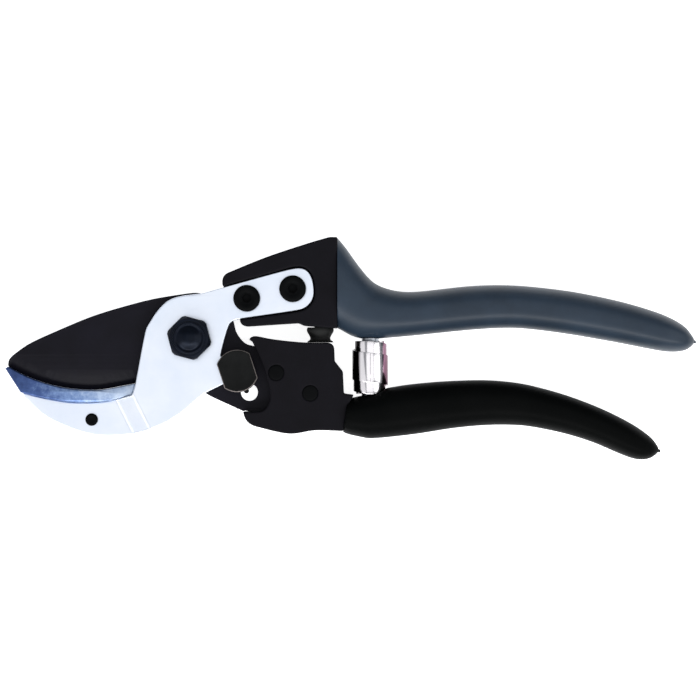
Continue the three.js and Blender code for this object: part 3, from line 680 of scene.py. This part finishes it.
def cutting_edge():
    """The places along the blade's edge, from tip to heel, measured on the frame."""
    vertices = frame["nodes"]["blade"].data.vertices
    near_middle = [v.co / MM for v in vertices if abs(v.co.z - MID) < 0.6 * EDGE_LAND]
    edge = [co for co in near_middle if co.y < EDGE_BELOW and co.x < EDGE_BEFORE]
    places = {(round(co.x, 1), round(co.y, 1)) for co in edge}
    points = [Vector((x * MM, y * MM, MID)) for x, y in sorted(places)]
    lowest = min(points, key=lambda p: p.y)
    kept = [points[0]]
    for point in points[1:]:
        if (point - kept[-1]).length > EDGE_APART:
            kept.append(point)
    print("the edge has", len(kept), "places, and is lowest at", [round(c / MM, 1) for c in lowest])
    return kept


def grinding_wedge(side):
    """What a wheel takes off on one side, 1 above and -1 below."""
    edge = cutting_edge()
    start = edge[0] + (edge[0] - edge[1]).normalized() * RUN_IN
    end = edge[-1] + (edge[-1] - edge[-2]).normalized() * RUN_OUT
    route = [start, *edge[1:], end]
    rise = (half_blade - EDGE_LAND / 2) / GROUND_WIDE
    bpy.ops.mesh.primitive_circle_add(vertices=3, radius=MM, fill_type="NGON", location=(0, 0, 0))
    wedge = added("grinding_wedge")
    corners = [
        (-OVER, EDGE_LAND / 2 - rise * OVER),
        (-OVER, half_blade + OVER),
        (GROUND_WIDE + OVER, half_blade + rise * OVER),
    ]
    along = (route[1] - route[0]).normalized()
    inwards = Vector((-along.y, along.x, 0))
    for vertex, (inside, up) in zip(wedge.data.vertices, corners):
        vertex.co = route[0] + inwards * inside + Vector((0, 0, side * up))
    edit(wedge)
    select_whole()
    heading = math.atan2(along.y, along.x)
    for before, place, after in zip(route, route[1:], route[2:] + [end + (end - edge[-1])]):
        extrude_by(place - before)
        ahead = (after - before).normalized()
        new_heading = math.atan2(ahead.y, ahead.x)
        bpy.ops.transform.rotate(value=heading - new_heading, orient_axis="Z", center_override=place)
        heading = new_heading
    close()
    return wedge


blade = outline_of_section("blade", "cutting_blade", blade_low + BLADE_EASED, MID)
cut_from_sheet(blade, blade_low, blade_high, BLADE_EASED)
for side in (1, -1):
    boolean(blade, grinding_wedge(side), "DIFFERENCE")
flat_faces_flat(blade)
hand_over(blade, "blade", coated_blade)

# %% [markdown]
# ## Jaw plate
# A steel stamping, cranked back at the jaw, so that the plate passes over the blade while its jaw lies in
# line with it. It is cut flat and eased, and then bent as a press would bend it: lines are cut across the
# slope, and everything past each line moves down a little further.

# %% Jaw plate
plate_low, plate_high = [corner.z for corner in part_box("jaw_plate")]
THICK = 3.5 * MM
PLATE_EDGE = 0.3 * MM  # rounded edge of the stamping
BENDS = 18  # lines across the slope
SOFT = 0.4 * MM  # how far the curve of each bend runs past the slope
ROUNDED = 0.16  # the share of the slope that is curved, at each end
raised = plate_high - THICK
plate = outline_of_faces(
    "jaw_plate", "cranked_jaw_plate", raised + PLATE_EDGE, lambda f: f.normal.z > LOOKS_UP
)
cut_from_sheet(plate, raised, plate_high, PLATE_EDGE)

cad_plate = frame["nodes"]["jaw_plate"].data
slope = [f for f in cad_plate.polygons if LOOKS_UP < f.normal.z < 0.95]
away = -Vector((slope[0].normal.x, slope[0].normal.y, 0)).normalized()
if away.x > 0:
    away.negate()
reach = [away.dot(cad_plate.vertices[i].co) for f in slope for i in f.vertices]
first, last = min(reach) - SOFT, max(reach) + SOFT
cuts = [first + (last - first) * k / BENDS for k in range(BENDS + 1)]
edit(plate)
for cut in cuts:
    select_whole()
    bpy.ops.mesh.bisect(plane_co=away * cut, plane_no=away)


def fallen(share):
    """How much of the step is reached at this share of the bend: straight, with its two ends rounded."""
    full = 1 - ROUNDED
    if share < ROUNDED:
        return share * share / (2 * ROUNDED * full)
    if share > full:
        return 1 - (1 - share) ** 2 / (2 * ROUNDED * full)
    return (share - ROUNDED / 2) / full


bpy.ops.mesh.select_mode(type="VERT")
for k in range(1, BENDS + 1):
    bpy.ops.mesh.select_all(action="DESELECT")
    pick(plate, lambda v: away.dot(v.co) > cuts[k] - 0.1 * SAME_PLANE, "verts")
    fall = (raised - plate_low) * (fallen(k / BENDS) - fallen((k - 1) / BENDS))
    bpy.ops.transform.translate(value=(0, 0, -fall))
close()
flat_faces_flat(plate)
hand_over(plate, "jaw_plate", nickel)

# %% [markdown]
# ## Anvil
# A soft bar laid along the jaw, with a flat chamfer milled round both faces, and a lug down its back that the
# screw goes through. Bar and lug are cut from their own outlines, and joined.

# %% Anvil
anvil_low, anvil_high = [corner.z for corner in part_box("anvil")]
bar_low = 2 * MID - anvil_high
CHAMFER = 0.4 * MM
PRESSED_ON = 0.25 * MM  # the bar is this much larger than its CAD node, which keeps a gap to the jaw
LUG_THICK = 2 * MM
LUG_EASED = 0.15 * MM
bar = outline_of_faces(
    "anvil", "anvil_bar", bar_low + CHAMFER,
    lambda f: f.normal.z > LOOKS_UP and f.calc_center_median().z > MID, grow=PRESSED_ON,
)
cut_from_sheet(bar, bar_low, anvil_high, CHAMFER, steps=1)
lug = outline_of_faces(
    "anvil", "anvil_lug", anvil_low + LUG_EASED,
    lambda f: f.normal.z < -LOOKS_UP and f.calc_center_median().z < anvil_low + 0.1 * MM,
)
cut_from_sheet(lug, anvil_low, anvil_low + LUG_THICK, LUG_EASED)
boolean(bar, lug, "UNION")
flat_faces_flat(bar)
hand_over(bar, "anvil", alloy)

# %% [markdown]
# ## Heads
# Both heads are forgings, each with the tang that its grip is pushed over. A forging has no sharp corner
# anywhere, and its pockets are milled and then coated. A voxel remesh gives the copy an even fine skin, and
# relaxing that skin rounds every corner alike, as a die, a tumbling drum and a powder coat do.

# %% Heads
FORGING_VOXEL = 0.35 * MM
for node, name in (("upper_handle", "upper_forging"), ("lower_handle", "lower_forging")):
    head = merged_copy(node, name)
    select_only(head)
    head.data.remesh_voxel_size = FORGING_VOXEL
    bpy.ops.object.voxel_remesh()
    apply_modifier(head, "SMOOTH", factor=0.5, iterations=3)
    select_only(head)
    bpy.ops.object.shade_smooth()
    hand_over(head, node, coated_forging)

# %% [markdown]
# ## Turned pieces
# Bolts, screws, pins and the rubber stop are all turned or moulded round. Each starts as one filled circle
# that is drawn up through the steps of its profile: extrude to the next height, then scale to the radius.

# %% Turned pieces


def turned(name, profile, centre, sides=64):
    """A closed round solid along Z, through pairs of radius and height in millimetres."""
    x, y = centre
    radius, height = profile[0]
    bpy.ops.mesh.primitive_circle_add(
        vertices=sides, radius=radius * MM, fill_type="NGON", location=(x, y, height * MM)
    )
    piece = added(name)
    edit(piece)
    select_whole()
    for r, z in profile[1:]:
        extrude_by((0, 0, (z - height) * MM))
        bpy.ops.transform.resize(value=(r / radius, r / radius, 1), center_override=(x, y, z * MM))
        radius, height = r, z
    close()
    return piece


def seat_of(node):
    """The bottom and top of a CAD node in millimetres, and its centre seen from above, in metres."""
    low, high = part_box(node)
    return low.z / MM, high.z / MM, (low + high).xy / 2


def stand_up(piece, x, z):
    """Turns a piece modelled along Z so that it runs along Y, at x and z."""
    piece.rotation_euler = (-math.pi / 2, 0, 0)
    piece.location = (x, 0, z)
    apply_placement(piece)


print("the bolt stands at", [round(c / MM, 1) for c in seat_of("pivot_bolt")[2]])

# %% [markdown]
# ## Grips
# A sleeve follows a curved tang, so its section changes all the way along. It is drawn out of one rounded
# square: the square is extruded from station to station, and at each it is stretched to the height and
# depth measured there on the CAD sleeve. A subdivision surface makes the skin between stations smooth. The
# hollow that the tang is pushed into is drawn in the same way, a wall's thickness smaller, and cut out.
#
# The spring's seat is sunk in the middle of the CAD sleeve, so near it the edges are measured three quarters
# of the way out to the side, where the section is lower by a known share, because the sleeve is a
# superellipse. The front is cut along the flats of the CAD sleeve, and the seat is a round hole.

# %% Grips
SECTION_POWER = 2.4  # 2 is an ellipse, more is squarer
OFF_MIDDLE = 0.75
LOWER_THERE = (1 - OFF_MIDDLE**SECTION_POWER) ** (1 / SECTION_POWER)
ROUND_SHARE = 0.82  # how far the corners of the drawn square are rounded
FAR = 0.3  # rays start this far outside
DEEP = MID  # the sleeves rest on the floor
STATIONS = 30
CARRIED_ON = 6 * MM  # the section is carried on this far past the front, to be cut off there
SLEEVE_WALL = 2 * MM
CLEAR = 0.3 * MM  # past the tang's end
NIB = 0.55 * MM  # half the width of the nib that the mould leaves at the end
FRONT_DEEP = 5 * MM  # the flats of the front are all nearer than this to its foremost point
TO_HEAD = 0.25 * MM  # the front is this far ahead of the CAD sleeve's, which closes the gap to the head
SEAT_RADIUS = 5.2  # of the round seat that the spring's end sinks into, in millimetres
spring_low, spring_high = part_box("volute_spring")


def section_at(node, x):
    """Middle, half height and half depth of a CAD sleeve at x."""
    sleeve = frame["nodes"][node]
    near_spring = x < spring_high.x + 4 * MM
    z = MID + OFF_MIDDLE * DEEP if near_spring else MID
    share = LOWER_THERE if near_spring else 1
    top = sleeve.ray_cast(Vector((x, FAR, z)), Vector((0, -1, 0)))[1].y
    bottom = sleeve.ray_cast(Vector((x, -FAR, z)), Vector((0, 1, 0)))[1].y
    centre = (top + bottom) / 2
    front = sleeve.ray_cast(Vector((x, centre, FAR)), Vector((0, 0, -1)))[1].z
    return Vector((x, centre, MID)), (top - bottom) / 2 / share, front - MID


def front_planes(node):
    """A point and the outward direction of each flat that cuts the front of a CAD sleeve."""
    mesh = frame["nodes"][node].data
    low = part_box(node)[0].x
    planes = {}
    for f in mesh.polygons:
        if f.normal.x < -0.8 and abs(f.normal.z) < 0.02 and f.center.x < low + FRONT_DEEP:
            key = (round(f.normal.x, 1), round(f.normal.y, 1))
            planes.setdefault(key, (f.center.copy(), f.normal.copy()))
    return list(planes.values())


def drawn_out(name, sections):
    """A smooth closed skin through sections, each a middle, a half height and a half depth."""
    bpy.ops.mesh.primitive_plane_add(size=2, location=(0, 0, 0), rotation=(0, math.pi / 2, 0))
    piece = added(name)
    edit(piece, "VERT")
    select_whole()
    bpy.ops.mesh.bevel(offset=ROUND_SHARE, segments=5, affect="VERTICES")
    centre, half_height, half_depth = sections[0]
    bpy.ops.transform.resize(value=(1, half_height, half_depth), center_override=(0, 0, 0))
    bpy.ops.transform.translate(value=centre)
    for next_centre, next_height, next_depth in sections[1:]:
        extrude_by(next_centre - centre)
        ratio = (1, next_height / half_height, next_depth / half_depth)
        bpy.ops.transform.resize(value=ratio, center_override=next_centre)
        centre, half_height, half_depth = next_centre, next_height, next_depth
    close()
    apply_modifier(piece, "SUBSURF", levels=2, render_levels=2)
    return piece


def sleeve(node, name, sure_from, tang_end):
    """A sleeve along X. Before sure_from its section is carried on in a straight line."""
    start, end = [corner.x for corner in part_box(node)]
    stretch = end - sure_from
    places = [sure_from + stretch * (1 - math.cos(math.pi * k / STATIONS)) / 2 for k in range(STATIONS)]
    sections = [section_at(node, x) for x in places]
    (c0, h0, d0), (c1, h1, _) = sections[0], section_at(node, sure_from + 3 * MM)
    share = CARRIED_ON / (c1.x - c0.x)
    sections.insert(0, (c0 + (c0 - c1) * share, h0 + (h0 - h1) * share, d0))
    hollow = [s for s in sections if s[0].x < tang_end - 2 * MM] + [section_at(node, tang_end)]
    nib_from = Vector((end - 0.5 * MM, sections[-1][0].y - 0.2 * MM, MID))
    sections.append((nib_from, NIB, NIB))
    sections.append((nib_from + Vector((0.9 * MM, -0.2 * MM, 0)), NIB * 0.9, NIB * 0.9))
    piece = drawn_out(name, sections)
    edit(piece)
    for point, normal in front_planes(node):
        select_whole()
        bpy.ops.mesh.bisect(
            plane_co=point + normal * TO_HEAD, plane_no=normal, use_fill=True, clear_outer=True
        )
    bpy.ops.mesh.select_all(action="DESELECT")
    mouth = pick(
        piece,
        lambda f: f.normal.x < -0.75
        and f.calc_center_median().x < start + FRONT_DEEP
        and f.calc_area() > 4 * MM * MM,
    )
    bpy.ops.mesh.inset(thickness=0.15 * MM, depth=0.08 * MM)
    close()
    smaller = [(c, h - SLEEVE_WALL, d - SLEEVE_WALL) for c, h, d in hollow]
    boolean(piece, drawn_out("hollow", smaller), "DIFFERENCE")
    seat = turned("seat", [(SEAT_RADIUS, spring_low.y / MM), (SEAT_RADIUS, spring_high.y / MM)], (0, 0))
    stand_up(seat, (spring_low.x + spring_high.x) / 2, MID)
    boolean(piece, seat, "DIFFERENCE")
    print(name, "has", len(sections), "stations and a mouth of", mouth, "flats")
    return piece


# Node, name, finish, the forging whose tang it covers, and how far from its front it is measured from, in mm.
GRIPS = [
    ("upper_grip", "upper_sleeve", slate_vinyl, "upper_handle", 0.1),
    ("lower_grip", "lower_sleeve", black_vinyl, "lower_handle", 3.6),
]
for node, name, vinyl, tang, front in GRIPS:
    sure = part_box(node)[0].x + front * MM
    grip = sleeve(node, name, sure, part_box(tang)[1].x + CLEAR)
    smooth_by_angle(grip, 50)
    hand_over(grip, node, vinyl)

# %% [markdown]
# ## Pivot bolt
# A forged hexagon with a conical chamfer, a raised land and a shallow domed centre, all oil-blackened. The
# hexagon is a six-sided cylinder cut by a turned cone, and the land and dome are turned and joined to it.

# %% Pivot bolt
HEX_ACROSS_FLATS = 12.2
HEX_CORNER = math.radians(45)  # to one corner of the tightened bolt and nut
DOME = 1.4  # height of the dome above the hexagon
OFF_PLATE = 0.3  # between the plate and the hexagon


def hexagon(name, across_flats, low, high, centre):
    """A six-sided bar along Z, from low to high in millimetres."""
    bpy.ops.mesh.primitive_cylinder_add(
        vertices=6, radius=across_flats / math.sqrt(3) * MM, depth=(high - low) * MM,
        location=(*centre, (low + high) / 2 * MM), rotation=(0, 0, HEX_CORNER - math.pi / 2),
    )
    return added(name)


bolt_low, bolt_high, bolt_at = seat_of("pivot_bolt")
hex_top = bolt_high - DOME
hex_low = plate_high / MM + OFF_PLATE
bolt = hexagon("pivot_bolt_black", HEX_ACROSS_FLATS, hex_low, hex_top, bolt_at)
flat = HEX_ACROSS_FLATS / 2
cone = turned(
    "cone",
    [(flat, hex_low - 0.01), (flat + 0.6, hex_low + 0.3), (flat + 0.66, hex_top - 1.2),
     (flat + 0.45, hex_top - 0.8), (flat - 0.35, hex_top), (flat - 0.4, hex_top + 1)],
    bolt_at,
)
boolean(bolt, cone, "INTERSECT")
land_and_dome = [
    (4.95, -1), (4.95, 0.28), (4.7, 0.45), (4.25, 0.45), (4.0, 0.2), (3.7, 0.12),
    (3.2, 0.4), (2.5, 0.82), (1.6, 1.18), (0.8, 1.34), (0.15, 1.39),
]
crown = turned("crown", [(r, hex_top + z) for r, z in land_and_dome], bolt_at)
boolean(bolt, crown, "UNION")
shank = turned("shank", [(3.5, bolt_low), (4, bolt_low + 0.5), (4, hex_low + 0.6)], bolt_at)
boolean(bolt, shank, "UNION")
soften(bolt, 0.12, 2, 35)
hand_over(bolt, "pivot_bolt", black_oxide)

# %% [markdown]
# ## Jaw screws
# Two low cap screws hold the plate. The head has a rounded rim and a hexagon socket, pressed a little
# below a shallow dish.

# %% Jaw screws
HEAD_HIGH = 2
SOCKET_CORNER = 1.55
SOCKET_DEEP = 1.2
SOCKET_TURN = 0.3  # in radians
for place in ("front", "rear"):
    node = f"jaw_screw_{place}"
    low, high, centre = seat_of(node)
    seat = high - HEAD_HIGH
    screw = turned(
        f"cap_screw_{place}",
        [(1.6, low), (2, low + 0.4), (2, seat), (3.85, seat), (4.05, seat + 0.2), (4.05, high - 0.75),
         (3.92, high - 0.35), (3.6, high - 0.08), (3.2, high), (2.3, high), (2.1, high - 0.15)],
        centre,
    )
    bpy.ops.mesh.primitive_cylinder_add(
        vertices=6, radius=SOCKET_CORNER * MM, depth=2 * SOCKET_DEEP * MM,
        location=(*centre, high * MM), rotation=(0, 0, SOCKET_TURN),
    )
    boolean(screw, bpy.context.object, "DIFFERENCE")
    smooth_by_angle(screw)
    hand_over(screw, node, dry_oxide)

# %% [markdown]
# ## Pins and the anvil screw
# The blade's tail is held by two drive pins, and the anvil by a small rivet screw. The pins' ends are domed a
# little where they were set, and the screw has a low head with a shallow hollow.

# %% Pins
SWOLLEN = 2.36  # setting a pin spreads it until it fills its hole, in millimetres
for node, name in (("blade_pin_front", "tail_pin_front"), ("blade_pin_rear", "tail_pin_rear")):
    low, high, centre = seat_of(node)
    pin = turned(
        name,
        [(1.2, low), (1.9, low + 0.15), (SWOLLEN, low + 0.5), (SWOLLEN, high - 0.3), (2.25, high - 0.14),
         (2.0, high - 0.07), (1.2, high - 0.03), (0.5, high), (0.1, high)],
        centre, 40,
    )
    smooth_by_angle(pin, 60)
    hand_over(pin, node, dry_oxide)

low, high, centre = seat_of("anvil_screw")
rivet = turned(
    "anvil_rivet_screw",
    [(1.2, low), (1.5, low + 0.3), (1.5, high - 0.5), (1.9, high - 0.48), (1.9, high - 0.25),
     (1.7, high - 0.08), (1.1, high), (0.9, high - 0.12), (0.2, high - 0.14)],
    centre, 40,
)
smooth_by_angle(rivet, 50)
hand_over(rivet, "anvil_screw", dry_oxide)

# %% [markdown]
# ## Latch
# The latch is a phosphated button. Its finger and shank are those of the CAD node, because they have to meet
# the tooth. The button above them is cut from its outline, its rim eased, and its face let down by a trace.

# %% Latch
latch_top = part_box("latch_button")[1].z
BUTTON_EASED = 0.25 * MM
STEM_INTO = 0.4 * MM  # the stem reaches this far into the button
button_low = plate_high + OFF_PLATE * MM
latch = outline_of_faces(
    "latch_button", "latch_thumb_button", button_low + BUTTON_EASED,
    lambda f: f.normal.z > LOOKS_UP and f.calc_center_median().z > latch_top - 0.1 * MM,
)
cut_from_sheet(latch, button_low, latch_top, BUTTON_EASED)
edit(latch)
pick(latch, lambda f: f.normal.z > 0.9 and f.calc_center_median().z > latch_top - SAME_PLANE)
bpy.ops.mesh.inset(thickness=0.5 * MM, depth=0)
bpy.ops.mesh.inset(thickness=0.25 * MM, depth=-0.06 * MM)
close()
stem = merged_copy("latch_button", "latch_stem")
edit(stem)
select_whole()
bpy.ops.mesh.bisect(
    plane_co=(0, 0, button_low + STEM_INTO), plane_no=(0, 0, 1), use_fill=True, clear_outer=True
)
close()
boolean(latch, stem, "UNION")
smooth_by_angle(latch, 35)
hand_over(latch, "latch_button", phosphate)
latch.data.materials.append(rim_wear_and_highlight_steel)
button_centre = middle("latch_button")


def on_rim(face):
    """True for the eased edge round the button's face, which looks up and outwards."""
    place = face.calc_center_median()
    outwards = face.normal.xy.dot((place - button_centre).xy) > 0
    return outwards and LOOKS_UP < face.normal.z < 0.97 and place.z > latch_top - 0.2 * MM


# The eased rim gets the bright bare steel: partly wear, partly a painted highlight line round the button.
edit(latch)
rim = pick(latch, on_rim)
latch.active_material_index = 1
bpy.ops.object.material_slot_assign()
bpy.ops.object.mode_set(mode="OBJECT")
print("the thumb has worn", rim, "faces of the rim bright")

# %% [markdown]
# ## Rubber stop
# The stop hangs from the upper head and lands on the lower one. It is a plug that narrows to a waist over a
# thin flared foot.

# %% Rubber stop
LANDS = 0.25  # the foot reaches this far below the CAD node, to land on the lower head
SHOULDER_HIGH = 4.6  # where the stop meets the upper head, with the stem above it
low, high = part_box("stop_buffer")
foot = low.y / MM - LANDS
shoulder = foot + SHOULDER_HIGH
stop = turned(
    "rubber_stop",
    [(3.9, foot), (4.0, foot + 0.12), (3.8, foot + 0.4), (3.3, foot + 0.7), (3.05, foot + 1.1),
     (3.1, foot + 1.6), (3.5, foot + 2.4), (3.95, foot + 3.1), (4.1, foot + 3.5), (4.1, shoulder - 0.5),
     (3.9, shoulder), (1.8, shoulder), (1.8, high.y / MM)],
    (0, 0), 56,
)
stand_up(stop, (low.x + high.x) / 2, MID)
smooth_by_angle(stop, 50)
hand_over(stop, "stop_buffer", rubber)

# %% [markdown]
# ## Volute spring
# A flat strip is wound so that each coil lies inside the last, from the widest coil in the middle towards
# both ends. One edge of the strip is swept: extrude, turn about the axis, move along it and draw inwards.
# Solidify gives the strip its thickness, and a small bevel takes the shine on its rims.

# %% Volute spring
SPRING_RADIUS = 5.4
STRIP_WIDTH = 9
STRIP_THICKNESS = 0.55
STRIP_EASED = 0.12
COIL_STEP = 0.8  # drawn inwards in each turn
TURNS = 1.75
LEVEL_TURNS = 0.75  # the last coils lie level, which closes the ends
STEPS_PER_TURN = 40


def strip_half(side, axis_x, centre_y, travel):
    """Half of the spring, wound from the middle towards side 1, up, or -1, down."""
    radius = SPRING_RADIUS * MM
    bpy.ops.mesh.primitive_plane_add(size=STRIP_WIDTH * MM, location=(axis_x, centre_y, MID + radius))
    piece = added("volute_spring_chrome")
    edit(piece, "VERT")
    pick(piece, lambda v: v.co.x > axis_x, "verts")
    bpy.ops.mesh.delete(type="VERT")
    select_whole()
    bpy.ops.transform.translate(value=(STRIP_WIDTH / 2 * MM, 0, 0))
    rising = int((TURNS - LEVEL_TURNS) * STEPS_PER_TURN)
    y = centre_y
    for step in range(int(TURNS * STEPS_PER_TURN)):
        rise = side * travel / rising if step < rising else 0
        y += rise
        extrude_by((0, rise, 0))
        centre = (axis_x, y, MID)
        bpy.ops.transform.rotate(
            value=side * 2 * math.pi / STEPS_PER_TURN, orient_axis="Y", center_override=centre
        )
        shrink = 1 - COIL_STEP * MM / STEPS_PER_TURN / radius
        radius *= shrink
        bpy.ops.transform.resize(value=(shrink, 1, shrink), center_override=centre)
    bpy.ops.object.mode_set(mode="OBJECT")
    return piece


spring_x, spring_y, _ = middle("volute_spring")
travel = (spring_high.y - spring_low.y - STRIP_WIDTH * MM) / 2
spring, other_half = [strip_half(side, spring_x, spring_y, travel) for side in (1, -1)]
for half in (spring, other_half):
    apply_modifier(half, "SOLIDIFY", thickness=STRIP_THICKNESS * MM, offset=0)
    apply_modifier(
        half, "BEVEL", width=STRIP_EASED * MM, segments=2, limit_method="ANGLE",
        angle_limit=math.radians(40), use_clamp_overlap=False,
    )
select_only(spring)
other_half.select_set(True)
bpy.ops.object.join()
edit(spring)
close()
smooth_by_angle(spring, 40)
# Each point's place across the spring, from the pivot side, which places the painted reflection band.
across = spring.data.attributes.new("across", "FLOAT", "POINT")
for vertex, value in zip(spring.data.vertices, across.data):
    value.value = (vertex.co.x - spring_low.x) / (spring_high.x - spring_low.x)
hand_over(spring, "volute_spring", chrome, rides=False)
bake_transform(spring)

# %% [markdown]
# ## Small fittings
# The bush, the washers, the retainer and the round nuts are rings: a turned solid with its corners broken,
# bored right through. The pivot nut is a hexagon with the corners taken off by a cone on both faces, and
# bored. The spring's pegs are short pins with a lead-in.

# %% Small fittings
CORNER = 0.15  # broken corner of a ring, in millimetres
FIT = 0.15  # all round a pin in its hole
BOLT_R, SCREW_R, SHANK_R = 4, 2, 1.6
NUT_ACROSS_FLATS = 13


def bore(piece, radius, low, high, centre):
    """Bores a hole right through a piece along Z."""
    boolean(piece, turned("drill", [(radius, low - 1), (radius, high + 1)], centre), "DIFFERENCE")


RINGS = {
    "pivot_bush": ("bearing_bush", BOLT_R, bronze),
    "thrust_washer": ("flat_thrust_washer", BOLT_R, zinc),
    "jaw_nut_front": ("round_nut_front", SCREW_R, dry_oxide),
    "jaw_nut_rear": ("round_nut_rear", SCREW_R, dry_oxide),
    "latch_wave_washer": ("spring_washer", SHANK_R, zinc),
    "latch_retainer": ("retaining_collar", SHANK_R, phosphate),
}
for node, (name, pin_radius, finish) in RINGS.items():
    low, high, centre = seat_of(node)
    outer = (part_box(node)[1].x - centre.x) / MM
    ring = turned(
        name,
        [(outer - CORNER, low), (outer, low + CORNER), (outer, high - CORNER), (outer - CORNER, high)],
        centre,
    )
    bore(ring, pin_radius + FIT, low, high, centre)
    smooth_by_angle(ring)
    hand_over(ring, node, finish)

low, high, centre = seat_of("pivot_nut")
nut = hexagon("hexagon_nut", NUT_ACROSS_FLATS, low, high, centre)
flat = NUT_ACROSS_FLATS / 2
cones = turned(
    "cones",
    [(flat - 0.1, low), (flat + 1, low + 0.6), (flat + 1, high - 0.6), (flat - 0.1, high)], centre,
)
boolean(nut, cones, "INTERSECT")
bore(nut, BOLT_R + FIT, low, high, centre)
soften(nut, 0.1, 2, 35)
hand_over(nut, "pivot_nut", black_oxide)

for node, name in (("upper_spring_peg", "upper_peg"), ("lower_spring_peg", "lower_peg")):
    low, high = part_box(node)
    bottom, top = low.y / MM, high.y / MM
    radius = (high.x - low.x) / 2 / MM
    lead = [(radius - 0.8, 0), (radius - 0.25, 0.25), (radius, 0.9)]
    if node == "upper_spring_peg":
        profile = [(r, bottom + up) for r, up in lead] + [(radius, top)]
    else:
        profile = [(radius, bottom)] + [(r, top - up) for r, up in reversed(lead)]
    peg = turned(name, profile, (0, 0), 48)
    stand_up(peg, (low.x + high.x) / 2, MID)
    smooth_by_angle(peg)
    hand_over(peg, node, zinc)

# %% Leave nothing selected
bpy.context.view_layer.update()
bpy.ops.object.select_all(action="DESELECT")
